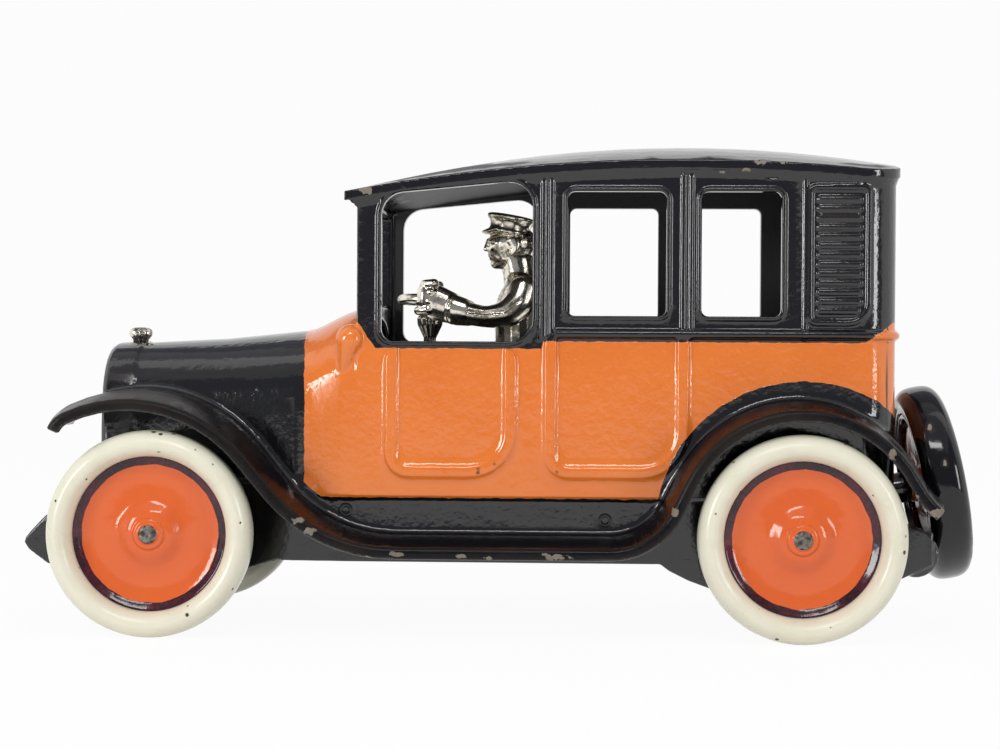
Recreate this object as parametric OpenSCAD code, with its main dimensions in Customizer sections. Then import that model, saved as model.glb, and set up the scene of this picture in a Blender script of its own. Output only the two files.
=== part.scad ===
// Cast-iron toy taxi: two body castings riveted together, a seated driver and free-rolling disc wheels.
// X runs along the car with the front at -X, the left side is -Y, Z is up from the ground.

/* [Overall] */
// Length from the frame horn tips to the back of the spare tyre
overall_length = 234; // [190:1:300]
// Height from the ground to the crown of the roof
overall_height = 118.8; // [96:0.1:150]
// Width across the cab sides
cab_width = 62; // [50:0.5:80]
// Reach of each fender and running board beyond the cab side
fender_reach = 13.5; // [10:0.5:20]

/* [Wheels] */
// Outside diameter of the tyres
wheel_diameter = 48.8; // [40:0.2:60]
// Width of a tyre across its sides
tyre_width = 10; // [7:0.1:14]
// Height of the tyre section above the rim of the disc
tyre_height = 6.2; // [4:0.1:9]
// How far the tyre side stands outside the fender lip
tyre_proud = 1; // [0:0.1:3]
// Thickness of the dished disc
disc_thickness = 2.2; // [1.5:0.1:4]
// Diameter of the axle wire
axle_diameter = 3.8; // [2.5:0.1:6]
// Height of the peened head on each axle and rivet end
head_height = 0.7; // [0.4:0.1:1.5]

/* [Casting] */
// Wall thickness of the body shell
wall = 2.8; // [2:0.1:4]
// Thickness of the frame side plates
frame_plate = 3.4; // [2.5:0.1:5]
// Thickness of the fender and running board sheet
fender_sheet = 2.2; // [1.6:0.1:3.5]
// Depth of the turned-down fender lip
fender_lip = 2.8; // [2:0.1:4.5]
// Rise of the fender crown from lip to body
fender_crown = 2.2; // [1:0.1:4]
// Inset of the frame side behind the cab side
valance_inset = 1.1; // [0.4:0.1:2]
// Radius of the rear cab corners in plan
cab_corner = 9; // [5:0.5:14]
// Height of the roof cornice band
cornice_height = 3.8; // [2:0.1:6]
// Overhang of the roof cornice beyond the cab side
cornice_reach = 1; // [0.4:0.1:2]
// Overhang of the roof in front of the windscreen posts
visor_reach = 3; // [1:0.1:6]
// Radius of the thin upright and window beads
bead_radius = 0.6; // [0.3:0.05:1]
// Radius of the round belt moulding
belt_radius = 1.1; // [0.6:0.1:2]
// Width of the raised door outline
door_bead = 2.9; // [1.5:0.1:4]
// Height of the raised door outline
door_rise = 0.9; // [0.4:0.1:1.6]
// Diameter of the two cross rivets
rivet_diameter = 3; // [2:0.1:4]
// Wall of the rivet posts and axle bosses around their bores
boss_wall = 2.4; // [1.5:0.1:4]

/* [Figure] */
// Height of the driver from the seat to the top of the cap
figure_height = 49.6; // [42:0.1:56]
// Headroom from the cap of the driver to the crown of the roof
headroom = 16; // [12:0.1:24]
// Diameter of the steering wheel
steering_diameter = 16.6; // [12:0.1:22]
// Diameter of the pegs of the driver and of the steering column
peg_diameter = 4; // [3:0.1:6]

/* [Fits] */
// Radial clearance of an axle in its bosses and of a wheel on its axle
running_clearance = 0.06; // [0.01:0.01:0.1]
// Clearance of pegs, rivets and pressed pieces in their holes
seat_clearance = 0.02; // [0.01:0.01:0.1]
// Gap between pieces that stay clear of each other
free_gap = 0.4; // [0.3:0.05:1]

/* [Hidden] */
$fn = 48;
// Overrun of every cut past the faces it opens
overrun = 1;

// Halves and radii
half_length = overall_length / 2;
cab_half = cab_width / 2;
fender_half = cab_half + fender_reach;
wheel_radius = wheel_diameter / 2;
axle_radius = axle_diameter / 2;
rivet_radius = rivet_diameter / 2;
peg_radius = peg_diameter / 2;
rim_radius = wheel_radius - tyre_height;
frame_half = cab_half - valance_inset;

// Stations along the car as shares of the overall length
front_axle_share = -0.3462;
rear_axle_share = 0.3068;
hood_front_share = -0.4171;
shell_back_share = -0.3850;
hood_mid_share = -0.2950;
cowl_front_share = -0.2083;
cab_front_share = -0.1432;
roof_peak_share = 0.1923;
cap_share = -0.3940;
driver_share = 0.0120;
front_rivet_share = -0.1538;
rear_rivet_share = 0.1115;
front_axle_x = overall_length * front_axle_share;
rear_axle_x = overall_length * rear_axle_share;
hood_front_x = overall_length * hood_front_share;
shell_back_x = overall_length * shell_back_share;
cowl_front_x = overall_length * cowl_front_share;
hood_mid_x = overall_length * hood_mid_share;
cab_front_x = overall_length * cab_front_share;
roof_peak_x = overall_length * roof_peak_share;
cap_x = overall_length * cap_share;
driver_x = overall_length * driver_share;

// Levels as shares of the overall height
roof_edge_share = 0.9554;
body_bottom_share = 0.2769;
belt_share = 0.6060;
rear_sill_share = 0.6423;
driver_sill_share = 0.5900;
window_top_share = 0.8914;
screen_top_share = 0.8670;
hood_front_top_share = 0.5852;
hood_mid_top_share = 0.5947;
hood_back_top_share = 0.6125;
cowl_top_share = 0.6600;
door_bottom_share = 0.3160;
roof_edge_z = overall_height * roof_edge_share;
body_bottom_z = overall_height * body_bottom_share;
belt_z = overall_height * belt_share;
rear_sill_z = overall_height * rear_sill_share;
driver_sill_z = overall_height * driver_sill_share;
window_top_z = overall_height * window_top_share;
screen_top_z = overall_height * screen_top_share;
hood_front_top_z = overall_height * hood_front_top_share;
hood_mid_top_z = overall_height * hood_mid_top_share;
hood_back_top_z = overall_height * hood_back_top_share;
cowl_top_z = overall_height * cowl_top_share;
door_bottom_z = overall_height * door_bottom_share;
seat_z = overall_height - figure_height - headroom;

// Spare wheel, leaning forward at its top
spare_lean = 10.6;
spare_height_share = 0.7275;
spare_z = wheel_diameter * spare_height_share;
tyre_round_share = 0.34;
tyre_round = tyre_width * tyre_round_share;
tyre_core = wheel_radius - tyre_round;
tyre_flat = tyre_width / 2 - tyre_round;
spare_x = half_length - tyre_core * sin(spare_lean) - tyre_flat * cos(spare_lean) - tyre_round;
spare_standoff_share = 0.26;
cab_back_x = spare_x - wheel_diameter * spare_standoff_share;
cab_back_low_z = body_bottom_z - wall * 3;

// Wheel section, as shares of the rim radius and the tyre width
hub_share = 0.215;
hub_face_share = 0.24;
hub_back_share = -0.56;
hub_radius = rim_radius * hub_share;
hub_face = tyre_width * hub_face_share;
hub_back = tyre_width * hub_back_share;
wheel_mid = fender_half + tyre_proud - tyre_width / 2;
boss_face = wheel_mid + hub_back - free_gap;
boss_radius = axle_radius + boss_wall;
axle_head_radius = axle_radius + head_height / 2;

// Fender line, as shares of the wheel diameter, with its slopes in degrees
front_arc_share = 0.738;
front_arc_ahead_share = 0.1025;
front_arc_drop_share = 0.088;
front_sweep_share = 0.738;
tip_arc_share = 0.15;
rear_arc_share = 0.619;
rear_sweep_share = 0.328;
tail_sweep_share = 0.533;
board_share = 0.451;
front_slope = 50;
tip_angle = 25;
tip_end_angle = 66;
rear_slope = 64;
tail_slope = 62;
tail_end_slope = 42;
fender_step = 7;
front_arc = wheel_diameter * front_arc_share;
front_sweep = wheel_diameter * front_sweep_share;
tip_arc = wheel_diameter * tip_arc_share;
rear_arc = wheel_diameter * rear_arc_share;
rear_sweep = wheel_diameter * rear_sweep_share;
tail_sweep = wheel_diameter * tail_sweep_share;
board_z = wheel_diameter * board_share;
front_centre = [front_axle_x - wheel_diameter * front_arc_ahead_share,
                wheel_radius - wheel_diameter * front_arc_drop_share];
front_end = front_centre + front_arc * [sin(front_slope), cos(front_slope)];
front_sweep_rise = front_sweep * (1 - cos(front_slope));
front_run = (front_end[1] - board_z - front_sweep_rise) / sin(front_slope);
front_sweep_start = front_end + front_run * [cos(front_slope), -sin(front_slope)];
board_front_x = front_sweep_start[0] + front_sweep * sin(front_slope);
rear_centre = [rear_axle_x, wheel_radius];
rear_start = rear_centre + rear_arc * [-sin(rear_slope), cos(rear_slope)];
rear_sweep_rise = rear_sweep * (1 - cos(rear_slope));
rear_run = (rear_start[1] - board_z - rear_sweep_rise) / sin(rear_slope);
rear_sweep_end = rear_start - rear_run * [cos(rear_slope), sin(rear_slope)];
board_back_x = rear_sweep_end[0] - rear_sweep * sin(rear_slope);

// Hood half sections: station, half width, top
hood_front_half_share = 0.655;
hood_back_half_share = 0.92;
hood_front_half = cab_half * hood_front_half_share;
hood_back_half = cab_half * hood_back_half_share;
shell_rise = bead_radius;
hood_shoulder_share = 0.168;
hood_shoulder = overall_height * hood_shoulder_share;
hood_power = 2.5;
hood_points = 14;
cowl_steps = 7;
cowl_power = 0.85;
function cowl_ease(t) = pow(t * t * (3 - 2 * t), cowl_power);
hood_stations = concat(
  [
    [hood_front_x, hood_front_half - shell_rise, hood_front_top_z - shell_rise],
    [hood_front_x + shell_rise * 2, hood_front_half + shell_rise, hood_front_top_z],
    [shell_back_x, hood_front_half + shell_rise * 1.6, hood_front_top_z + shell_rise / 2],
    [shell_back_x + shell_rise, hood_front_half + shell_rise, hood_front_top_z],
    [hood_mid_x, (hood_front_half + hood_back_half) / 2 + shell_rise / 2, hood_mid_top_z]
  ],
  [for (i = [0 : cowl_steps]) let(t = i / cowl_steps, e = cowl_ease(t)) [
    cowl_front_x + (cab_front_x - cowl_front_x) * t,
    hood_back_half + (cab_half - hood_back_half) * e,
    hood_back_top_z + (cowl_top_z - hood_back_top_z) * e
  ]]
);

// Roof surface
roof_edge_arc_share = 1.842;
roof_crown_arc_share = 1.282;
roof_edge_arc = overall_length * roof_edge_arc_share;
roof_crown_arc = overall_length * roof_crown_arc_share;
roof_half = cab_half + cornice_reach;
// Steps of the cove under the cornice: share of the reach, share of the height
cornice_shares = [[1, 0.6], [0.5, 0.84], [0.2, 1.05]];
roof_steps = 20;
roof_ribs = 6;

// Windows: front edge, back edge as shares of the overall length
rear_pane_shares = [[0.0722, 0.1722], [0.2077, 0.2885]];
driver_pane_share = [-0.1184, 0.0363];
pane_corner = belt_radius * 1.4;
driver_corner = belt_radius * 5;
driver_front_drop_share = 0.03;
pillar_bead_shares = [0.0475, 0.0555, 0.1890, 0.1970, 0.3120];
door_shares = [[-0.1135, 0.0205], [0.0489, 0.1957]];
door_front_corner = belt_radius * 5;
door_back_corner = belt_radius * 10;
back_window_half_share = 0.42;
back_window_shares = [0.72, 0.84];
back_window_z = overall_height * back_window_shares;
louvre_shares = [0.3165, 0.3765];
louvre_level_shares = [0.6300, 0.9010];
louvre_count = 13;
louvre_corner = belt_radius * 4.5;
lamp_share = -0.1496;
lamp_tip_share = -0.1590;
lamp_level_share = 0.5930;
lamp_tip_level_share = 0.5130;
lamp_radius = belt_radius * 3.3;
lamp_inset_share = 0.4;

// Frame side outline, as shares of the wheel diameter about the horn tip, each axle and the tail
horn_shares = [[0.107, 0.543], [0.043, 0.477], [0.008, 0.436], [0, 0.41], [0.027, 0.373], [0.123, 0.307]];
front_hanger_shares = [[-0.287, 0.215], [0, 0.180], [0.24, 0.235], [0.455, 0.314], [0.578, 0.352]];
rear_hanger_shares = [
  [-0.667, 0.352], [-0.621, 0.319], [-0.53, 0.274], [-0.439, 0.241],
  [-0.242, 0.180], [0, 0.170], [0.246, 0.190], [0.50, 0.29]
];
tail_shares = [[0.17, 0.36], [0.17, 0.52], [0.055, 0.55]];
horn_half_share = 0.597;
horn_half = cab_half * horn_half_share;
frame_top_z = body_bottom_z + wall * 1.1;
tank_radius_share = 0.113;
tank_level_share = 0.41;
tank_radius = wheel_diameter * tank_radius_share;
tank_z = wheel_diameter * tank_level_share;
tank_lift = (tank_z - spare_z) * sin(spare_lean);
tank_x = spare_x - (tyre_width / 2 + free_gap + tank_radius + tank_lift) / cos(spare_lean);
front_rivet_at = [overall_length * front_rivet_share, board_z + fender_lip * 2.7];
rear_rivet_at = [overall_length * rear_rivet_share, board_z + fender_lip * 2];

// Driver: balls of the figure as shares of its height: along X, across Y, up from the seat, radius
cranium_share = [-0.020, 0, 0.843, 0.086];
brow_share = [-0.075, 0, 0.835, 0.050];
cheek_share = [-0.068, 0.022, 0.785, 0.040];
chin_share = [-0.066, 0, 0.742, 0.034];
jaw_share = [0.005, 0, 0.775, 0.062];
nose_share = [-0.122, 0, 0.806, 0.014];
bridge_share = [-0.108, 0, 0.838, 0.012];
nape_share = [0.010, 0, 0.740, 0.058];
collar_share = [0.025, 0, 0.640, 0.066];
shoulder_share = [0.045, 0.140, 0.572, 0.074];
chest_share = [0.020, 0, 0.500, 0.120];
hip_share = [0.050, 0.060, 0.040, 0.130];
elbow_share = [-0.170, 0.176, 0.476, 0.058];
wrist_share = [-0.330, 0.140, 0.505, 0.050];
palm_share = [-0.420, 0.122, 0.548, 0.066];
knuckle_share = [-0.460, 0.120, 0.600, 0.050];
thumb_share = [-0.350, 0.122, 0.570, 0.048];
cap_band_share = [-0.012, 0, 0.895, 0.100];
cap_top_share = [0.004, 0, 0.975, 0.126];
peak_share = [-0.100, 0, 0.893, 0.062];
peg_share = 0.060;
cap_tilt = 8;
wheel_x_share = -0.425;
wheel_level_share = 0.555;
wheel_at = [driver_x + figure_height * wheel_x_share, seat_z + figure_height * wheel_level_share];
rim_tube_share = 0.068;
rim_tube = steering_diameter * rim_tube_share;
steering_arc = steering_diameter / 2 - rim_tube;
column_radius = peg_radius * 0.8;
spoke_angle = 20;

body_paint = "darkorange";
plating = "silver";
steel = "dimgray";
tyre_paint = "ivory";
spare_paint = "black";

function unit(v) = v / norm(v);
function swing(a, b) = (b - a + 540) % 360 - 180;
function corner_arc(a, b, c, r, n) = let(
    u = unit(a - b),
    v = unit(c - b),
    half = acos(u * v) / 2,
    o = b + unit(u + v) * r / sin(half),
    p = b + u * r / tan(half) - o,
    q = b + v * r / tan(half) - o,
    start = atan2(p[1], p[0]),
    turn = swing(start, atan2(q[1], q[0]))
  ) [for (i = [0 : n]) o + r * [cos(start + turn * i / n), sin(start + turn * i / n)]];
function rounded(pts, radii, n) = [
  for (i = [0 : len(pts) - 1])
    each corner_arc(pts[(i + len(pts) - 1) % len(pts)], pts[i], pts[(i + 1) % len(pts)], radii[i], n)
];
function about(origin, shares, size) = [for (s = shares) origin + size * s];
function figure_point(share, side) = [driver_x, 0, seat_z]
  + figure_height * [share[0], share[1] * side, share[2]];

// Roof level at a station and a distance from the centre plane
function arc_drop(r, d) = r - sqrt(r * r - d * d);
function roof_edge_level(x) = roof_edge_z - arc_drop(roof_edge_arc, x - roof_peak_x);
function roof_crown_level(x) = overall_height - arc_drop(roof_crown_arc, x - roof_peak_x);
function roof_level(x, y) = let(edge = roof_edge_level(x))
  edge + (roof_crown_level(x) - edge) * (1 - pow(y / roof_half, 2));

// Everything under the roof surface lowered by drop, on the left of the centre plane
module under_roof(drop) {
  x0 = cab_front_x - visor_reach - overrun;
  x1 = cab_back_x + cornice_reach + overrun;
  y1 = roof_half + overrun;
  n = roof_steps;
  m = roof_ribs;
  top = [
    for (i = [0 : n]) for (j = [0 : m])
      let(x = x0 + (x1 - x0) * i / n, y = y1 * j / m)
        [x, -y, roof_level(x, y) - drop]
  ];
  low = [[x0, 0, 0], [x1, 0, 0], [x1, -y1, 0], [x0, -y1, 0]];
  k = len(top);
  w = m + 1;
  skin = [
    for (i = [0 : n - 1]) for (j = [0 : m - 1]) let(a = i * w + j)
      each [[a, a + w, a + 1], [a + 1, a + w, a + w + 1]]
  ];
  polyhedron(concat(top, low), concat(skin, [
    concat([k, k + 1], [for (i = [n : -1 : 0]) i * w]),
    concat([k + 1, k + 2], [for (j = [m : -1 : 0]) n * w + j]),
    concat([k + 2, k + 3], [for (i = [0 : n]) i * w + m]),
    concat([k + 3, k], [for (j = [0 : m]) j]),
    [k + 3, k + 2, k + 1, k]
  ]));
}

// Left half of the cab in plan, grown outward, starting at a front station
module cab_plan(grow, front) {
  back = cab_back_x + grow;
  half = cab_half + grow;
  corner = cab_corner + grow;
  translate([front, -half]) square([back - corner - front, half]);
  translate([front, corner - half]) square([back - front, half - corner]);
  translate([back - corner, corner - half]) circle(r = corner);
}

// Half section of the hood as points across and up, from the seam below round to the seam on top
function hood_section(half, top, bottom) = concat(
  [[0, bottom], [-half, bottom]],
  [for (i = [0 : hood_points]) let(a = i * 90 / hood_points)
    [-half * pow(cos(a), 2 / hood_power), top - hood_shoulder * (1 - pow(sin(a), 2 / hood_power))]]
);

module hood_loft(stations, bottom) {
  rings = [for (s = stations) [for (p = hood_section(s[1], s[2], bottom)) [s[0], p[0], p[1]]]];
  w = len(rings[0]);
  n = len(rings);
  polyhedron([for (r = rings) each r], concat(
    [[for (j = [w - 1 : -1 : 0]) j]],
    [[for (j = [0 : w - 1]) (n - 1) * w + j]],
    [for (i = [0 : n - 2]) for (j = [0 : w - 1]) let(a = i * w + j, b = i * w + (j + 1) % w)
      each [[a, b, a + w], [b, b + w, a + w]]]
  ));
}

module hood_cavity() {
  hood_loft(concat(
    [for (i = [0 : len(hood_stations) - 1]) let(s = hood_stations[i])
      [i < 2 ? hood_front_x + wall + (i + 1) * overrun : s[0], s[1] - wall, s[2] - wall]],
    [[cab_front_x + wall + overrun, cab_half - wall, cowl_top_z - wall]]
  ), -overrun);
}

// Fender section: height above the fender line, distance from the centre plane
function fender_section(inner) = let(
    root = frame_half - wall,
    bevel = fender_sheet / 3,
    span = fender_half - bevel - root,
    crown = [for (i = [0 : 3]) [fender_crown * (1 - pow(i / 3, 2)), root + span * i / 3]]
  ) concat(
    [[fender_crown, inner]],
    crown,
    [[-bevel, fender_half], [-fender_lip, fender_half], [-fender_lip, fender_half - fender_sheet]],
    [for (i = [2 : -1 : 0]) crown[i] - [fender_sheet, 0]],
    [[fender_crown - fender_sheet, inner]]
  );

// Stations of the fender line along an arc: place, upward direction, inner edge
function fender_arc(centre, r, from, to, up, skip, inner) = let(n = ceil(abs(to - from) / fender_step)) [
  for (i = [skip : n]) let(a = from + (to - from) * i / n, d = [cos(a), sin(a)])
    [centre + r * d, up * d, inner]
];

// Fenders and running board in one run of arcs joined by straights
module fender_run() {
  wide = hood_front_half - wall / 2;
  narrow = frame_half - wall;
  tip_centre = front_centre + (front_arc - tip_arc) * [-sin(tip_angle), cos(tip_angle)];
  tail_centre = rear_centre + (rear_arc + tail_sweep) * [sin(tail_slope), cos(tail_slope)];
  board_front = [board_front_x, board_z + front_sweep];
  board_back = [board_back_x, board_z + rear_sweep];
  line = concat(
    fender_arc(tip_centre, tip_arc, 90 + tip_end_angle, 90 + tip_angle, 1, 0, wide),
    fender_arc(front_centre, front_arc, 90 + tip_angle, 90 - front_slope, 1, 1, wide),
    fender_arc(board_front, front_sweep, 270 - front_slope, 270, -1, 0, narrow),
    fender_arc(board_back, rear_sweep, 270, 270 + rear_slope, -1, 0, narrow),
    fender_arc(rear_centre, rear_arc, 90 + rear_slope, 90 - tail_slope, 1, 0, narrow),
    fender_arc(tail_centre, tail_sweep, 270 - tail_slope, 270 - tail_end_slope, -1, 1, narrow)
  );
  rings = [
    for (s = line) [for (p = fender_section(s[2])) let(q = s[0] + s[1] * p[0]) [q[0], -p[1], q[1]]]
  ];
  w = len(rings[0]);
  n = len(rings);
  polyhedron([for (r = rings) each r], concat(
    [[for (j = [0 : w - 1]) j]],
    [[for (j = [w - 1 : -1 : 0]) (n - 1) * w + j]],
    [for (i = [0 : n - 2]) for (j = [0 : w - 1]) let(a = i * w + j, b = i * w + (j + 1) % w)
      each [[a, a + w, b], [b, a + w, b + w]]]
  ));
}

// Frame side with horn, axle hangers and tail
module frame_side() {
  outline = concat(
    [[hood_front_x, frame_top_z]],
    about([-half_length, 0], horn_shares, wheel_diameter),
    about([front_axle_x, 0], front_hanger_shares, wheel_diameter),
    about([rear_axle_x, 0], rear_hanger_shares, wheel_diameter),
    about([cab_back_x, 0], tail_shares, wheel_diameter),
    [[cab_back_x - wall, frame_top_z]]
  );
  edge = [
    [-half_length - overrun, horn_half],
    [hood_front_x, hood_front_half + bead_radius * 2],
    [cowl_front_x, hood_back_half + bead_radius],
    [cab_front_x, frame_half],
    [cab_back_x + wheel_diameter, frame_half]
  ];
  intersection() {
    rotate([90, 0, 0]) linear_extrude(cab_width) polygon(outline);
    linear_extrude(overall_height) polygon(concat(
      [for (p = edge) [p[0], -p[1]]],
      [for (i = [len(edge) - 1 : -1 : 0]) [edge[i][0], frame_plate - edge[i][1]]]
    ));
  }
}

// A round bar along Y from one distance left of the centre plane to another
module cross_bar(at, r, from, to) {
  translate([at[0], -from, at[1]]) rotate([90, 0, 0]) cylinder(r = r, h = to - from);
}

// Rounded panel in side view, from the cab side outward or inward
module side_panel(pts, from, to) {
  translate([0, -from, 0]) rotate([90, 0, 0]) linear_extrude(to - from) polygon(pts);
}

function pane(x0, x1, z0, z1, r, grow) = rounded(
  [[x0 - grow, z0 - grow], [x1 + grow, z0 - grow], [x1 + grow, z1 + grow], [x0 - grow, z1 + grow]],
  [r + grow, r + grow, r + grow, r + grow], 4);

function louvre_pane(x, z, grow) = rounded(
  [[x[0] - grow, z[0] - grow], [x[1] + grow, z[0] - grow],
   [x[1] + grow, z[1] + grow], [x[0] - grow, z[1] + grow]],
  [pane_corner + grow, louvre_corner + grow, pane_corner + grow, pane_corner + grow], 5);

function rear_pane(i, grow) = let(x = overall_length * rear_pane_shares[i])
  pane(x[0], x[1], rear_sill_z, window_top_z, pane_corner, grow);

function driver_pane(grow) = let(
    x0 = overall_length * driver_pane_share[0] - grow,
    x1 = overall_length * driver_pane_share[1] + grow,
    top = window_top_z + wall + grow,
    low_top = top - overall_height * driver_front_drop_share
  ) rounded([[x0, driver_sill_z - grow], [x1, driver_sill_z - grow], [x1, top], [x0, low_top]],
    [driver_corner / 2 + grow, driver_corner + grow, driver_corner + grow, driver_corner + grow], 5);

module window_frame(outer, inner) {
  difference() {
    side_panel(outer, cab_half - bead_radius, cab_half + bead_radius);
    side_panel(inner, cab_half - wall, cab_half + wall);
  }
}

// Raised outline of a door: two uprights, a sill and two round corners
module door_outline(i) {
  x0 = overall_length * door_shares[i][0];
  x1 = overall_length * door_shares[i][1];
  radii = [door_front_corner, door_back_corner, door_bead, door_bead];
  inner_radii = [door_front_corner - door_bead, door_back_corner - door_bead, door_rise, door_rise];
  top = i == 0 ? driver_sill_z - bead_radius * 2.8 : belt_z;
  slab = [[x0, door_bottom_z], [x1, door_bottom_z], [x1, top], [x0, top]];
  field = [
    [x0 + door_bead, door_bottom_z + door_bead], [x1 - door_bead, door_bottom_z + door_bead],
    [x1 - door_bead, top + overrun * 4], [x0 + door_bead, top + overrun * 4]
  ];
  difference() {
    side_panel(rounded(slab, radii, 6), cab_half - wall / 2, cab_half + door_rise);
    side_panel(rounded(field, inner_radii, 6), cab_half, cab_half + wall);
  }
}

// Louvred rear quarter: a rim with one wide round corner and a stack of round-ended slats
module louvres() {
  x = overall_length * louvre_shares;
  z = overall_height * louvre_level_shares;
  margin = bead_radius * 3;
  pitch = (z[1] - z[0] - margin * 2) / louvre_count;
  slat = pitch * 0.31;
  window_frame(louvre_pane(x, z, bead_radius), louvre_pane(x, z, -bead_radius));
  for (i = [0 : louvre_count - 1]) {
    up = margin + pitch * (i + 0.5);
    short = arc_drop(louvre_corner, max(0, louvre_corner - up));
    left = x[0] + margin + slat;
    right = x[1] - margin - slat - short;
    translate([0, bead_radius - cab_half, 0]) rotate([90, 0, 0]) linear_extrude(bead_radius * 2) {
      translate([left, z[0] + up - slat]) square([right - left, slat * 2]);
      translate([left, z[0] + up]) circle(r = slat);
      translate([right, z[0] + up]) circle(r = slat);
    }
  }
}

// Round belt moulding along the side, round the corner and across the back
module belt() {
  run = cab_back_x - cab_corner;
  start = overall_length * rear_pane_shares[0][0] - wall;
  translate([start, -cab_half, belt_z]) rotate([0, 90, 0]) cylinder(r = belt_radius, h = run - start);
  translate([run, cab_corner - cab_half, belt_z]) rotate([0, 0, -90])
    rotate_extrude(angle = 90) translate([cab_corner, 0]) circle(r = belt_radius);
  translate([cab_back_x, cab_corner - cab_half, belt_z]) rotate([-90, 0, 0])
    cylinder(r = belt_radius, h = cab_half - cab_corner);
}

module pillar_beads() {
  for (s = pillar_bead_shares) {
    translate([overall_length * s, -cab_half, rear_sill_z - wall * 2])
      cylinder(r = bead_radius, h = window_top_z + wall * 1.4 - rear_sill_z + wall * 2);
  }
}

// Teardrop lamp on the shoulder of the cowl, its point down and forward
module cowl_lamp() {
  x = overall_length * lamp_share;
  z = overall_height * lamp_level_share;
  tip = [overall_length * lamp_tip_share - x, overall_height * lamp_tip_level_share - z];
  turn = 120;
  lean = 90 - atan2(tip[1], tip[0]);
  translate([x, lamp_radius * lamp_inset_share - cab_half, z]) rotate([0, lean, 0])
    rotate_extrude() polygon(concat(
      [[0, -lamp_radius]],
      [for (i = [1 : 8]) let(a = 180 - turn * i / 8) lamp_radius * [sin(a), cos(a)]],
      [[bead_radius, norm(tip)], [0, norm(tip)]]
    ));
}

// Frame of the spare: origin at its centre, its axis along local Z, pointing back
module at_spare() {
  translate([spare_x, 0, spare_z]) rotate([0, 90 - spare_lean, 0]) children();
}

module rear_apron() {
  intersection() {
    translate([0, 0, cab_back_low_z]) linear_extrude(frame_top_z - cab_back_low_z) difference() {
      cab_plan(-valance_inset, cab_front_x);
      cab_plan(-valance_inset - wall, cab_front_x - overrun);
    }
    translate([cab_back_x - cab_corner * 2, -cab_half, 0]) cube([cab_corner * 2, cab_half, overall_height]);
  }
}

module radiator_core() {
  depth = wall / 2;
  z0 = body_bottom_z + wall * 2;
  z1 = hood_front_top_z - wall * 2;
  half = hood_front_half - wall * 1.4;
  count = 7;
  pitch = half / count;
  for (i = [0 : count - 1]) {
    translate([hood_front_x + depth / 2, -pitch * (i + 0.75), z0])
      cube([depth, pitch / 2, z1 - z0 - pow(i / count, 3) * hood_shoulder / 2]);
  }
}

module radiator_recess() {
  half = hood_front_half - wall * 1.4;
  top = hood_front_top_z - wall * 1.5;
  translate([hood_front_x - overrun, 0, 0]) rotate([90, 0, 90]) linear_extrude(overrun + wall / 2)
    polygon([for (p = hood_section(half, top, body_bottom_z + wall * 1.4)) p]);
}

// Outer shell before its bosses and bores
module shell() {
  screen_half = cab_half - wall * 1.4;
  difference() {
    union() {
      intersection() {
        translate([0, 0, body_bottom_z]) linear_extrude(overall_height) cab_plan(0, cab_front_x);
        under_roof(0);
      }
      for (s = cornice_shares) {
        intersection() {
          linear_extrude(overall_height * 2) cab_plan(cornice_reach * s[0], cab_front_x - visor_reach * s[0]);
          difference() {
            under_roof(0);
            under_roof(cornice_height * s[1]);
          }
        }
      }
      hood_loft(hood_stations, body_bottom_z);
      fender_run();
      frame_side();
    }
    intersection() {
      translate([0, 0, board_z + fender_crown + wall]) linear_extrude(overall_height)
        cab_plan(-wall, cab_front_x + wall);
      under_roof(wall);
    }
    hood_cavity();
    side_panel(driver_pane(0), cab_half - wall * 2, cab_half + wall);
    for (i = [0, 1]) {
      side_panel(rear_pane(i, 0), cab_half - wall * 2, cab_half + wall);
    }
    translate([cab_front_x - wall, -screen_half, cowl_top_z + bead_radius])
      cube([wall * 3, screen_half + overrun, screen_top_z - cowl_top_z - bead_radius]);
    translate([cab_back_x - wall * 2, -cab_half * back_window_half_share, back_window_z[0]])
      cube([wall * 4, cab_half, back_window_z[1] - back_window_z[0]]);
    radiator_recess();
  }
}

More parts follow.
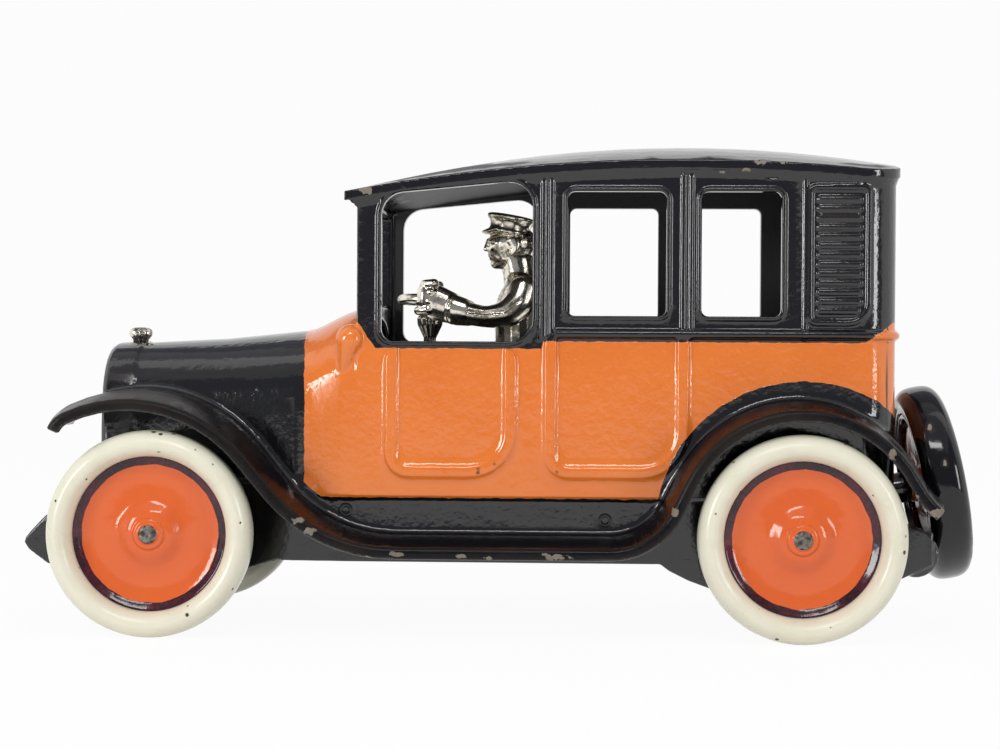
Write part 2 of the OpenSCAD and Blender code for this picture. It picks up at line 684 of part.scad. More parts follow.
module body_half() {
  post_reach = frame_half - frame_plate / 2;
  seat_front = wheel_at[0] - peg_diameter * 1.5;
  seat_back = driver_x + figure_height * 0.25;
  color(body_paint) difference() {
    union() {
      shell();
      window_frame(driver_pane(bead_radius * 1.6), driver_pane(0));
      for (i = [0, 1]) {
        window_frame(rear_pane(i, bead_radius * 1.6), rear_pane(i, 0));
        door_outline(i);
      }
      pillar_beads();
      belt();
      louvres();
      cowl_lamp();
      radiator_core();
      rear_apron();
      cross_bar([front_axle_x, wheel_radius], boss_radius, hood_front_half - wall, boss_face);
      cross_bar([rear_axle_x, wheel_radius], boss_radius, frame_half - frame_plate * 2, boss_face);
      cross_bar(front_rivet_at, rivet_radius + boss_wall, 0, post_reach);
      cross_bar(rear_rivet_at, rivet_radius + boss_wall, 0, post_reach);
      cross_bar([tank_x, tank_z], tank_radius, 0, post_reach);
      translate([seat_front, wall / 2 - cab_half, seat_z - wall])
        cube([seat_back - seat_front, cab_half - wall / 2, wall]);
      at_spare() translate([0, 0, cab_back_x - spare_x - wall])
        cylinder(r = rivet_radius + boss_wall, h = spare_x - cab_back_x + wall + hub_back);
    }
    translate([-overall_length, 0, -overall_height])
      cube([overall_length * 2, cab_width, overall_height * 3]);
    cross_bar([front_axle_x, wheel_radius], axle_radius + running_clearance, 0, fender_half);
    cross_bar([rear_axle_x, wheel_radius], axle_radius + running_clearance, 0, fender_half);
    for (at = [front_rivet_at, rear_rivet_at]) {
      cross_bar(at, rivet_radius + seat_clearance, -overrun, cab_half);
      cross_bar(at, rivet_radius + head_height + seat_clearance, frame_half - head_height, fender_half);
    }
    at_spare() translate([0, 0, cab_back_x - spare_x - wall * 2])
      cylinder(r = rivet_radius + seat_clearance, h = spare_x - cab_back_x + wall * 2);
    for (x = [driver_x + figure_height * peg_share, wheel_at[0]]) {
      translate([x, 0, seat_z - wall * 2]) cylinder(r = peg_radius + seat_clearance, h = wall * 3);
    }
    translate([cap_x, 0, hood_front_top_z - wall * 2])
      cylinder(r = rivet_radius + seat_clearance, h = wall * 4);
  }
}

module body_left() {
  body_half();
}

module body_right() {
  mirror([0, 1, 0]) body_half();
}

module cross_rivet(at) {
  color(steel) {
    cross_bar(at, rivet_radius, -frame_half, frame_half);
    cross_bar(at, rivet_radius + head_height, frame_half - head_height, frame_half);
    cross_bar(at, rivet_radius + head_height, -frame_half, head_height - frame_half);
  }
}

module front_rivet() {
  cross_rivet(front_rivet_at);
}

module rear_rivet() {
  cross_rivet(rear_rivet_at);
}

module ball(share, side) {
  translate(figure_point(share, side)) sphere(r = figure_height * share[3], $fn = 20);
}

module limb(a, b, side) {
  hull() {
    ball(a, side);
    ball(b, side);
  }
}

// A thin round slice of the cap, tilted back with the head
module cap_slice(share, height_share) {
  translate(figure_point(share, 0)) rotate([0, cap_tilt, 0])
    cylinder(r = figure_height * share[3], h = figure_height * height_share, $fn = 32);
}

module driver() {
  color(plating) difference() {
    union() {
      hull() {
        ball(cranium_share, 0);
        ball(brow_share, 0);
        ball(jaw_share, 0);
        ball(cheek_share, -1);
        ball(cheek_share, 1);
        ball(chin_share, 0);
      }
      limb(bridge_share, nose_share, 0);
      limb(nape_share, collar_share, 0);
      hull() {
        cap_slice(cap_band_share, 0.012);
        cap_slice(cap_top_share, 0.016);
      }
      hull() {
        cap_slice(peak_share, 0.014);
        cap_slice(cap_band_share, 0.014);
      }
      hull() {
        ball(collar_share, 0);
        ball(shoulder_share, -1);
        ball(shoulder_share, 1);
        ball(chest_share, 0);
      }
      hull() {
        ball(shoulder_share, -1);
        ball(shoulder_share, 1);
        ball(chest_share, 0);
        intersection() {
          union() {
            ball(hip_share, -1);
            ball(hip_share, 1);
          }
          translate([0, -cab_half, seat_z]) cube([cab_half, cab_width, cab_width]);
        }
      }
      for (side = [-1, 1]) {
        limb(shoulder_share, elbow_share, side);
        limb(elbow_share, wrist_share, side);
        hull() {
          ball(wrist_share, side);
          ball(palm_share, side);
          ball(knuckle_share, side);
          ball(thumb_share, side);
        }
      }
      translate([driver_x + figure_height * peg_share, 0, seat_z - wall])
        cylinder(r = peg_radius, h = wall * 2);
    }
    rim_groove(rim_tube + free_gap);
  }
}

// Square groove in the hands that the steering wheel rim runs through
module rim_groove(reach) {
  translate([wheel_at[0], 0, wheel_at[1]]) rotate_extrude()
    translate([steering_arc - reach, -reach]) square(reach * 2);
}

module rim_ring(tube) {
  translate([wheel_at[0], 0, wheel_at[1]]) rotate_extrude() translate([steering_arc, 0]) circle(r = tube);
}

module steering_wheel() {
  cone = steering_diameter * 0.2;
  color(plating) {
    rim_ring(rim_tube);
    translate([wheel_at[0], 0, wheel_at[1]]) {
      for (a = [-spoke_angle, spoke_angle]) {
        rotate([0, 0, a]) translate([-steering_arc, 0, 0]) rotate([0, 90, 0])
          cylinder(r = rim_tube * 0.7, h = steering_arc * 2);
      }
      translate([0, 0, -rim_tube]) cylinder(r = column_radius * 1.4, h = rim_tube * 2.4);
      translate([0, 0, -rim_tube - cone]) cylinder(r1 = column_radius, r2 = column_radius * 1.4, h = cone);
    }
    translate([wheel_at[0], 0, seat_z]) cylinder(r = column_radius, h = wheel_at[1] - seat_z);
    translate([wheel_at[0], 0, seat_z]) cylinder(r = peg_radius * 1.5, h = wall / 2);
    translate([wheel_at[0], 0, seat_z - wall]) cylinder(r = peg_radius, h = wall);
  }
}

module radiator_cap() {
  base = hood_front_top_z - shell_rise;
  color(plating) translate([cap_x, 0, base]) {
    translate([0, 0, -wall]) cylinder(r = rivet_radius, h = wall + shell_rise * 2);
    rotate_extrude() polygon([
      [0, shell_rise * 2], [rivet_radius * 1.3, shell_rise * 2], [rivet_radius * 1.4, shell_rise * 3],
      [rivet_radius * 1.95, shell_rise * 4.2], [rivet_radius * 2, shell_rise * 5.8],
      [rivet_radius * 1.6, shell_rise * 7], [rivet_radius * 0.9, shell_rise * 7.5], [0, shell_rise * 7.6]
    ]);
  }
}

module axle(x) {
  reach = wheel_mid + hub_face + running_clearance;
  color(steel) {
    cross_bar([x, wheel_radius], axle_radius, -reach, reach);
    cross_bar([x, wheel_radius], axle_head_radius, reach, reach + head_height);
    cross_bar([x, wheel_radius], axle_head_radius, -reach - head_height, -reach);
  }
}

module front_axle() {
  axle(front_axle_x);
}

module rear_axle() {
  axle(rear_axle_x);
}

// Dished disc about local Z, its outer face towards +Z
module disc(bore) {
  rise = tyre_width * 0.1;
  rim = rim_radius - disc_thickness * 0.7;
  rotate_extrude() polygon([
    [bore, hub_back], [hub_radius, hub_back], [hub_radius * 1.1, -disc_thickness],
    [rim_radius * 0.48, -disc_thickness * 1.35], [rim_radius * 0.78, -disc_thickness * 1.45],
    [rim, -disc_thickness * 0.8], [rim, hub_back * 0.75],
    [rim_radius, hub_back * 0.75], [rim_radius, rise], [rim, rise * 0.8], [rim - rise, 0],
    [rim_radius * 0.76, -rise * 0.8], [rim_radius * 0.64, -rise], [rim_radius * 0.52, -rise * 0.6],
    [rim_radius * 0.42, rise * 0.3], [rim_radius * 0.34, rise * 1.1],
    [hub_radius * 1.15, rise * 1.6], [hub_radius, hub_face - rise * 0.2], [hub_radius * 0.92, hub_face],
    [bore, hub_face]
  ]);
}

// Tyre about local Z: a round-sided band on the rim of the disc
module tyre() {
  rotate_extrude() difference() {
    union() {
      translate([tyre_core, tyre_flat]) circle(r = tyre_round);
      translate([tyre_core, -tyre_flat]) circle(r = tyre_round);
      translate([tyre_core - tyre_round, -tyre_flat]) square([tyre_round * 2, tyre_flat * 2]);
      translate([rim_radius - overrun, -tyre_flat - tyre_round * 0.7])
        square([tyre_core - rim_radius + overrun, tyre_flat * 2 + tyre_round * 1.4]);
    }
    translate([0, -tyre_width]) square([rim_radius + seat_clearance, tyre_width * 2]);
  }
}

module at_wheel(x, side) {
  translate([x, side * wheel_mid, wheel_radius]) rotate([-90 * side, 0, 0]) children();
}

module disc_front_left() {
  color(body_paint) at_wheel(front_axle_x, -1) disc(axle_radius + running_clearance);
}

module disc_front_right() {
  color(body_paint) at_wheel(front_axle_x, 1) disc(axle_radius + running_clearance);
}

module disc_rear_left() {
  color(body_paint) at_wheel(rear_axle_x, -1) disc(axle_radius + running_clearance);
}

module disc_rear_right() {
  color(body_paint) at_wheel(rear_axle_x, 1) disc(axle_radius + running_clearance);
}

module tyre_front_left() {
  color(tyre_paint) at_wheel(front_axle_x, -1) tyre();
}

module tyre_front_right() {
  color(tyre_paint) at_wheel(front_axle_x, 1) tyre();
}

module tyre_rear_left() {
  color(tyre_paint) at_wheel(rear_axle_x, -1) tyre();
}

module tyre_rear_right() {
  color(tyre_paint) at_wheel(rear_axle_x, 1) tyre();
}

module spare_tyre() {
  color(spare_paint) at_spare() tyre();
}

module spare_disc() {
  color(body_paint) at_spare() disc(rivet_radius + seat_clearance);
}

module spare_rivet() {
  grip = wall * 2 - hub_back + hub_face;
  color(steel) at_spare() {
    translate([0, 0, hub_face - grip]) cylinder(r = rivet_radius, h = grip);
    translate([0, 0, hub_face]) cylinder(r = rivet_radius + head_height, h = head_height);
  }
}

body_left();
body_right();
front_rivet();
rear_rivet();
driver();
steering_wheel();
radiator_cap();
front_axle();
rear_axle();
disc_front_left();
disc_front_right();
disc_rear_left();
disc_rear_right();
tyre_front_left();
tyre_front_right();
tyre_rear_left();
tyre_rear_right();
spare_tyre();
spare_disc();
spare_rivet();
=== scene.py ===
"""Cast-iron toy taxi: enamel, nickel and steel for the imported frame, as an add-on run as a script."""

import math

import bmesh
import bpy
import numpy as np
from mathutils import Matrix, Vector


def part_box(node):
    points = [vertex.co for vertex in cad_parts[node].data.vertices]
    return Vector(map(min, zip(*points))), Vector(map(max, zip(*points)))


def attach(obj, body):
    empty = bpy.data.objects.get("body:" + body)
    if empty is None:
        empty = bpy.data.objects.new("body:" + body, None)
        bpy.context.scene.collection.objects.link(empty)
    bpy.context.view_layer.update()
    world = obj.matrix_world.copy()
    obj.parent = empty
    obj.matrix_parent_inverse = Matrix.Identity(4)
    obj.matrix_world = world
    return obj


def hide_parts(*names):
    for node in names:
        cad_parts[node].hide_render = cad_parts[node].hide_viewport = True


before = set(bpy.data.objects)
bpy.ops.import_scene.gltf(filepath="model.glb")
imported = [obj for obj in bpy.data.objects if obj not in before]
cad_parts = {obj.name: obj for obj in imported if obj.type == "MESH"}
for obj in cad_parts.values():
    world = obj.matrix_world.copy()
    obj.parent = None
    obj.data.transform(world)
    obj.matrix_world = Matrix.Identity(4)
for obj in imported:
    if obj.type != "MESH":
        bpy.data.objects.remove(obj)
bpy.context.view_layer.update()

bl_info = {
    "name": "Toy taxi",
    "version": (1, 0, 0),
    "blender": (4, 5, 0),
    "location": "3D View > Sidebar > Toy taxi",
    "description": "Enamelled castings, a nickel driver, disc wheels and a plain stage",
    "category": "Object",
}

MM = 0.001
WHEELS = ("front_left", "front_right", "rear_left", "rear_right")
# Hollows this deep fill up with enamel, fading out below the windows, in millimetres
POOL_DEPTH, POOL_TOP, POOL_FADE = 0.1, 66.0, 4.0
# Rounds of neighbours that find a hollow and blur its edge, and how fast the enamel flows
POOL_REACH, POOL_BLUR, POOL_FLOW = 8, 6, 0.7
# A step inward and a slightly longer one outward, which smooth a mesh without shrinking it
RELAX_SHARES = (0.5, -0.51)
# About how many triangles are left of each melted casting
BODY_FACES, FIGURE_FACES, COLUMN_FACES = 190000, 150000, 60000
# Grid on which the steering wheel is melted to its column, in millimetres
COLUMN_GRID = 0.2
# The chip depth of a point that lies in no chip
NO_CHIP = -2.0


def linear(code):
    """The linear colour of an sRGB hex code."""
    parts = [int(code[i : i + 2], 16) / 255 for i in (1, 3, 5)]
    return tuple(p / 12.92 if p <= 0.04045 else ((p + 0.055) / 1.055) ** 2.4 for p in parts)


def paint(name, description, code):
    """A colour setting whose default is an sRGB hex code."""
    return bpy.props.FloatVectorProperty(
        name=name, description=description, subtype="COLOR", min=0, max=1, default=linear(code)
    )


def size(name, description, default, low, high):
    """A size setting in millimetres."""
    return bpy.props.FloatProperty(
        name=name,
        description=description + ", in millimetres",
        subtype="DISTANCE",
        default=default,
        min=low,
        max=high,
    )


class TaxiColours(bpy.types.PropertyGroup):
    """Colours of the paints and metals."""

    orange: paint("Orange", "Orange enamel of the lower body", "#E87F30")
    orange_deep: paint("Deep orange", "Orange enamel where it pooled", "#DC6F26")
    disc_orange: paint("Disc orange", "Redder orange of the wheel discs", "#E0682E")
    black: paint("Black", "Black enamel", "#0A0A0F")
    brown: paint("Brown", "Black enamel worn thin over iron", "#1E1815")
    cream: paint("Cream", "Cream enamel of the tyres", "#E2DFCB")
    maroon: paint("Maroon", "Brushed stripe round each disc", "#5C2030")
    iron: paint("Iron", "Bare cast iron in the chips", "#8F867A")
    nickel: paint("Nickel", "Aged nickel plate", "#F0E9DA")
    steel: paint("Steel", "Drawn axle wire", "#8A8680")


class TaxiSizes(bpy.types.PropertyGroup):
    """Sizes that shape the surfaces."""

    melt: size("Melt grid", "Grid on which the corners of a casting are melted round", 0.34, 0.2, 1)
    figure_melt: size("Figure grid", "Grid on which the driver's shapes are melted together", 0.2, 0.12, 0.6)
    ragged: size("Ragged edge", "How far a brushed paint edge wanders", 0.45, 0, 3)
    peel: size("Orange peel", "Height of the ripples in the enamel", 0.06, 0, 0.3)
    segments: bpy.props.IntProperty(
        name="Turned segments", description="Flats round each turned piece", default=160, min=32, max=256
    )


def add(tree, kind, inputs=None, **settings):
    """A shader node with its settings, each input either linked or set."""
    node = tree.nodes.new(kind)
    for key, value in settings.items():
        setattr(node, key, value)
    for key, value in (inputs or {}).items():
        if isinstance(value, bpy.types.NodeSocket):
            tree.links.new(value, node.inputs[key])
        else:
            node.inputs[key].default_value = value
    return node


def opaque(colour):
    """A colour with full alpha, as a node's socket takes it."""
    return (*colour, 1.0)


def per(across):
    """Noise scale for features about this many millimetres across."""
    return 1 / (across * MM)


def new_material(name):
    """A node material with its tree and its shader."""
    material = bpy.data.materials.new(name)
    material.use_nodes = True
    tree = material.node_tree
    return material, tree, tree.nodes["Principled BSDF"]


def dress(tree, shader, colour, rough, bump):
    """Lead a finish's colour, roughness and relief to its shader."""
    for name, value in (("Base Color", colour), ("Roughness", rough), ("Normal", bump)):
        tree.links.new(value, shader.inputs[name])


def seen_directly(tree):
    """One where the eye, a reflection or a glass looks straight at a surface, else zero."""
    rays = add(tree, "ShaderNodeLightPath").outputs
    seen = rays["Is Camera Ray"]
    for name in ("Is Glossy Ray", "Is Transmission Ray"):
        seen = add(tree, "ShaderNodeMath", {0: seen, 1: rays[name]}, operation="MAXIMUM").outputs[0]
    return seen


def evaluated_mesh(obj):
    """The mesh of an object with its modifiers applied."""
    bpy.context.view_layer.update()
    graph = bpy.context.evaluated_depsgraph_get()
    return bpy.data.meshes.new_from_object(obj.evaluated_get(graph))


def array_of(items, key, width, kind=np.float64):
    """One property of many mesh elements as rows."""
    flat = np.empty(len(items) * width, kind)
    items.foreach_get(key, flat)
    return flat.reshape(-1, width)


def neighbours_mean(values, edges):
    """The mean of each vertex's neighbours, column by column."""
    a, b = edges.T
    n = len(values)
    count = np.maximum(np.bincount(edges.ravel(), minlength=n), 1)
    return np.stack([(np.bincount(a, v[b], n) + np.bincount(b, v[a], n)) / count for v in values.T], 1)


def swelling(points, normals, edges, rounds):
    """How far each vertex stands out of the surface round it, blurred over some rounds of neighbours."""
    blurred = points
    for _ in range(rounds):
        blurred = neighbours_mean(blurred, edges)
    return ((points - blurred) * normals).sum(1)


def melted(source, grid, most_faces, rounds=3, pool=0, keep=None):
    """A closed mesh remade on a fine grid and relaxed, its edges rounded as moulding sand leaves them.

    Enamel pools for some rounds in hollow corners below the windows.
    The mesh stays fine wherever keep says so."""
    obj = bpy.data.objects.new("melting", source)
    bpy.context.scene.collection.objects.link(obj)
    remesh = obj.modifiers.new("grid", "REMESH")
    remesh.mode = "VOXEL"
    remesh.voxel_size = grid * MM
    mesh = evaluated_mesh(obj)
    points = array_of(mesh.vertices, "co", 3)
    edges = array_of(mesh.edges, "vertices", 2, np.int32)
    for share in RELAX_SHARES * rounds:
        points += share * (neighbours_mean(points, edges) - points)
    mesh.vertices.foreach_set("co", points.ravel())
    normals = array_of(mesh.vertices, "normal", 3)
    if pool:
        hollow = np.clip(-swelling(points, normals, edges, POOL_REACH) / (POOL_DEPTH * MM), 0, 1)
        low = np.clip((POOL_TOP - points[:, 2] / MM) / POOL_FADE, 0, 1)
        share = (hollow * low)[:, None]
        for _ in range(POOL_BLUR):
            share = neighbours_mean(share, edges)
        for _ in range(pool):
            points += POOL_FLOW * share * (neighbours_mean(points, edges) - points)
        mesh.vertices.foreach_set("co", points.ravel())
    obj.modifiers.clear()
    obj.data = mesh
    if keep is not None:
        group = obj.vertex_groups.new(name="thin_here")
        group.add(np.flatnonzero(~keep(points / MM)).tolist(), 1.0, "REPLACE")
    thin = obj.modifiers.new("thin", "DECIMATE")
    thin.ratio = min(1.0, most_faces / (2 * len(mesh.polygons)))
    if keep is not None:
        thin.vertex_group = "thin_here"
    mesh = evaluated_mesh(obj)
    bpy.data.objects.remove(obj)
    mesh.shade_smooth()
    return mesh


def welded(mesh):
    """The same mesh with its doubled points joined and its faces all turned outward."""
    bm = bmesh.new()
    bm.from_mesh(mesh)
    bmesh.ops.remove_doubles(bm, verts=bm.verts, dist=MM / 1000)
    bmesh.ops.recalc_face_normals(bm, faces=bm.faces)
    bm.to_mesh(mesh)
    bm.free()
    return mesh


def store(mesh, name, values):
    """Keep one number per vertex where a material can read it."""
    mesh.attributes.new(name, "FLOAT", "POINT").data.foreach_set("value", np.asarray(values, np.float32))


def piece(name, mesh, material, body, slot, *nodes):
    """Show a mesh in place of CAD nodes, on the body that carries it."""
    mesh.name = name
    mesh.materials.clear()
    mesh.materials.append(material)
    mesh.shade_smooth()
    obj = bpy.data.objects.new(name, mesh)
    bpy.context.scene.collection.objects.link(obj)
    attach(obj, body)
    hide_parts(*nodes)
    return obj


def mesh_of(points, faces):
    """A mesh from points in millimetres."""
    mesh = bpy.data.meshes.new("shape")
    mesh.from_pydata(np.asarray(points) * MM, [], faces)
    return mesh


def grid_faces(rows, columns):
    """Quads of a grid that closes on itself both ways."""
    return [
        (i * columns + j, (i + 1) % rows * columns + j, (i + 1) % rows * columns + (j + 1) % columns,
         i * columns + (j + 1) % columns)
        for i in range(rows)
        for j in range(columns)
    ]


def turned(profile, segments, place=Matrix(), flutes=0, flute_depth=0.0):
    """A closed profile of radius and height turned about local Z, fluted if asked, and put in place."""
    r, h = np.asarray(profile, float).T
    turn = np.arange(segments)[:, None] * 2 * math.pi / segments
    wide = r * (1 - flute_depth * (0.5 + 0.5 * np.cos(flutes * turn)))
    points = np.stack([np.cos(turn) * wide, np.sin(turn) * wide, np.broadcast_to(h, wide.shape)], 2)
    mesh = welded(mesh_of(points.reshape(-1, 3), grid_faces(segments, len(r))))
    store(mesh, "ring", np.hypot(*array_of(mesh.vertices, "co", 3)[:, :2].T) / MM)
    mesh.transform(place)
    return mesh


def rounded(points, steps=4):
    """A closed smooth line through points, so that a turned profile has no corners."""
    p = np.asarray(points, float)
    a, b, c, d = (np.roll(p, 1 - k, 0)[:, None] for k in range(4))
    s = (np.arange(steps) / steps)[None, :, None]
    line = 2 * b + (c - a) * s + (2 * a - 5 * b + 4 * c - d) * s**2 + (3 * b - a - 3 * c + d) * s**3
    return (0.5 * line).reshape(-1, 2)


def balls(*keys, steps=8):
    """A row of balls blending from key to key: place x, y, z and radii x, y, z in millimetres."""
    keys = np.asarray(keys, float)
    along = np.linspace(0, len(keys) - 1, (len(keys) - 1) * steps + 1)
    row = np.stack([np.interp(along, np.arange(len(keys)), column) for column in keys.T], 1)
    for _ in range(steps):
        row[1:-1] = (row[:-2] + 2 * row[1:-1] + row[2:]) / 4
    turns, rings = 20, 11
    up = np.linspace(0, math.pi, rings)
    turn = np.arange(turns)[:, None] * 2 * math.pi / turns
    unit = np.stack([np.sin(up) * np.cos(turn), np.sin(up) * np.sin(turn), np.cos(up) + 0 * turn], 2)
    unit = unit.reshape(-1, 3)
    quads = np.array([
        (i * rings + j, i * rings + j + 1, (i + 1) % turns * rings + j + 1, (i + 1) % turns * rings + j)
        for i in range(turns)
        for j in range(rings - 1)
    ])
    points = row[:, None, :3] + unit * row[:, None, 3:]
    faces = quads + (np.arange(len(row)) * len(unit))[:, None, None]
    return mesh_of(points.reshape(-1, 3), faces.reshape(-1, 4).tolist())


def pile(meshes):
    """Many closed meshes as one, still crossing each other."""
    bm = bmesh.new()
    for mesh in meshes:
        bm.from_mesh(mesh)
    joined = bpy.data.meshes.new("pile")
    bm.to_mesh(joined)
    bm.free()
    return joined


def cut_grooves(mesh, lines):
    """Press grooves into a mesh along lines of points: width and depth in millimetres."""
    points = array_of(mesh.vertices, "co", 3) / MM
    normals = array_of(mesh.vertices, "normal", 3)
    press = np.zeros(len(points))
    for width, depth, line in lines:
        line = np.asarray(line, float)
        for a, b in zip(line[:-1], line[1:]):
            t = np.clip(((points - a) @ (b - a)) / ((b - a) @ (b - a)), 0, 1)
            away = np.linalg.norm(points - a - t[:, None] * (b - a), axis=1)
            press = np.maximum(press, depth * np.exp(-((away / width) ** 2)))
    mesh.vertices.foreach_set("co", ((points - press[:, None] * normals) * MM).ravel())


def body_enamel(colours, sizes):
    """Orange and black enamel dipped and brushed over sand-cast iron.

    Deep gloss with orange-peel ripples, brushed colour edges that wander, brown worn edges, and grey
    iron in the chips."""
    material, tree, shader = new_material("Dipped_enamel_on_cast_iron")
    place = add(tree, "ShaderNodeTexCoord").outputs["Object"]
    reach, wear, chip, inside, tread = (
        add(tree, "ShaderNodeAttribute", attribute_name=name).outputs["Fac"]
        for name in ("orange_reach", "edge_wear", "chip_depth", "inside", "tread")
    )
    fine, ripple, brush, wave, pool = (
        add(tree, "ShaderNodeTexNoise", {"Vector": place, "Scale": per(mm), "Detail": detail}).outputs["Fac"]
        for mm, detail in ((0.9, 3.0), (1.9, 1.5), (2.6, 4.0), (7.0, 1.0), (19.0, 2.0))
    )
    brushed = add(
        tree, "ShaderNodeMath", {0: brush, 1: sizes.ragged * 2, 2: reach}, operation="MULTIPLY_ADD"
    ).outputs[0]
    low, high = sizes.ragged - 0.06, sizes.ragged + 0.06
    coated = add(tree, "ShaderNodeMapRange", {"Value": brushed, "From Min": low, "From Max": high}).outputs[0]
    orange = add(
        tree, "ShaderNodeMix",
        {"Factor": pool, "A": opaque(colours.orange_deep), "B": opaque(colours.orange)},
        data_type="RGBA",
    ).outputs["Result"]
    rub = add(tree, "ShaderNodeMath", {0: pool, 1: 1.4, 2: wear}, operation="MULTIPLY_ADD").outputs[0]
    trod = add(tree, "ShaderNodeMath", {0: tread, 1: 0.35, 2: rub}, operation="MULTIPLY_ADD").outputs[0]
    thin = add(tree, "ShaderNodeMapRange", {"Value": trod, "From Min": 1.15, "From Max": 1.8}).outputs[0]
    black = add(
        tree, "ShaderNodeMix", {"Factor": thin, "A": opaque(colours.black), "B": opaque(colours.brown)},
        data_type="RGBA",
    ).outputs["Result"]
    enamel = add(
        tree, "ShaderNodeMix", {"Factor": coated, "A": black, "B": orange}, data_type="RGBA"
    ).outputs["Result"]
    torn = add(tree, "ShaderNodeMath", {0: brush, 1: 1.6, 2: chip}, operation="MULTIPLY_ADD").outputs[0]
    broken = add(tree, "ShaderNodeMath", {0: fine, 1: 1.2, 2: torn}, operation="MULTIPLY_ADD").outputs[0]
    chipped = add(tree, "ShaderNodeMapRange", {"Value": broken, "From Min": 1.74, "From Max": 1.8}).outputs[0]
    bare = add(
        tree, "ShaderNodeMix", {"Factor": ripple, "A": opaque(linear("#5A5048")), "B": opaque(colours.iron)},
        data_type="RGBA",
    ).outputs["Result"]
    outside = add(
        tree, "ShaderNodeMix", {"Factor": chipped, "A": enamel, "B": bare}, data_type="RGBA"
    ).outputs["Result"]
    colour = add(
        tree, "ShaderNodeMix",
        {"Factor": inside, "A": outside, "B": opaque(linear("#17161A"))},
        data_type="RGBA",
    ).outputs["Result"]
    gloss = add(tree, "ShaderNodeMapRange", {"Value": wave, "To Min": 0.05, "To Max": 0.16}).outputs[0]
    scuffed = add(tree, "ShaderNodeMath", {0: tread, 1: 0.1, 2: gloss}, operation="MULTIPLY_ADD").outputs[0]
    shine = add(tree, "ShaderNodeMapRange", {"Value": tread, "To Min": 0.75, "To Max": 0.2}).outputs[0]
    worn = add(tree, "ShaderNodeMath", {0: thin, 1: 0.2, 2: scuffed}, operation="MULTIPLY_ADD").outputs[0]
    dull = add(tree, "ShaderNodeMath", {0: chipped, 1: inside}, operation="MAXIMUM").outputs[0]
    rough = add(
        tree, "ShaderNodeMix", {"Factor": dull, "A": worn, "B": 0.5}, data_type="FLOAT"
    ).outputs["Result"]
    grain = add(tree, "ShaderNodeMath", {0: fine, 1: 0.6, 2: ripple}, operation="MULTIPLY_ADD").outputs[0]
    peel = add(tree, "ShaderNodeMath", {0: wave, 1: 1.2, 2: grain}, operation="MULTIPLY_ADD").outputs[0]
    over = add(tree, "ShaderNodeMath", {0: coated, 1: -1.2, 2: peel}, operation="MULTIPLY_ADD").outputs[0]
    height = add(tree, "ShaderNodeMath", {0: chipped, 1: -2.0, 2: over}, operation="MULTIPLY_ADD").outputs[0]
    bump = add(
        tree, "ShaderNodeBump", {"Height": height, "Distance": sizes.peel * MM, "Strength": 1.0}
    ).outputs[0]
    tree.links.new(shine, shader.inputs["Specular IOR Level"])
    dress(tree, shader, colour, rough, bump)
    return material


def disc_enamel(colours):
    """Redder orange enamel dipped on a cast disc, with a maroon stripe brushed round its edge by hand.

    The stripe is streaky, nearly black where the brush was full."""
    material, tree, shader = new_material("Dipped_orange_enamel")
    place = add(tree, "ShaderNodeTexCoord").outputs["Object"]
    ring = add(tree, "ShaderNodeAttribute", attribute_name="ring").outputs["Fac"]
    streak, wander, load = (
        add(tree, "ShaderNodeTexNoise", {"Vector": place, "Scale": per(mm), "Detail": 3.0}).outputs["Fac"]
        for mm in (0.8, 4.0, 14.0)
    )
    edge = add(tree, "ShaderNodeMath", {0: wander, 1: 0.8, 2: ring}, operation="MULTIPLY_ADD").outputs[0]
    stripe = add(tree, "ShaderNodeMapRange", {"Value": edge, "From Min": 16.6, "From Max": 16.72}).outputs[0]
    full = add(tree, "ShaderNodeMath", {0: streak, 1: 0.7, 2: load}, operation="MULTIPLY_ADD").outputs[0]
    depth = add(tree, "ShaderNodeMapRange", {"Value": full, "From Min": 0.6, "From Max": 1.0}).outputs[0]
    maroon = add(
        tree, "ShaderNodeMix", {"Factor": depth, "A": opaque(colours.maroon), "B": opaque(linear("#241018"))},
        data_type="RGBA",
    ).outputs["Result"]
    orange = add(
        tree, "ShaderNodeMix",
        {"Factor": load, "A": opaque(colours.disc_orange), "B": opaque(linear("#D65E2C"))},
        data_type="RGBA",
    ).outputs["Result"]
    colour = add(
        tree, "ShaderNodeMix", {"Factor": stripe, "A": orange, "B": maroon}, data_type="RGBA"
    ).outputs["Result"]
    rough = add(tree, "ShaderNodeMapRange", {"Value": load, "To Min": 0.06, "To Max": 0.18}).outputs[0]
    bump = add(tree, "ShaderNodeBump", {"Height": wander, "Distance": 0.12 * MM, "Strength": 1.0}).outputs[0]
    dress(tree, shader, colour, rough, bump)
    return material


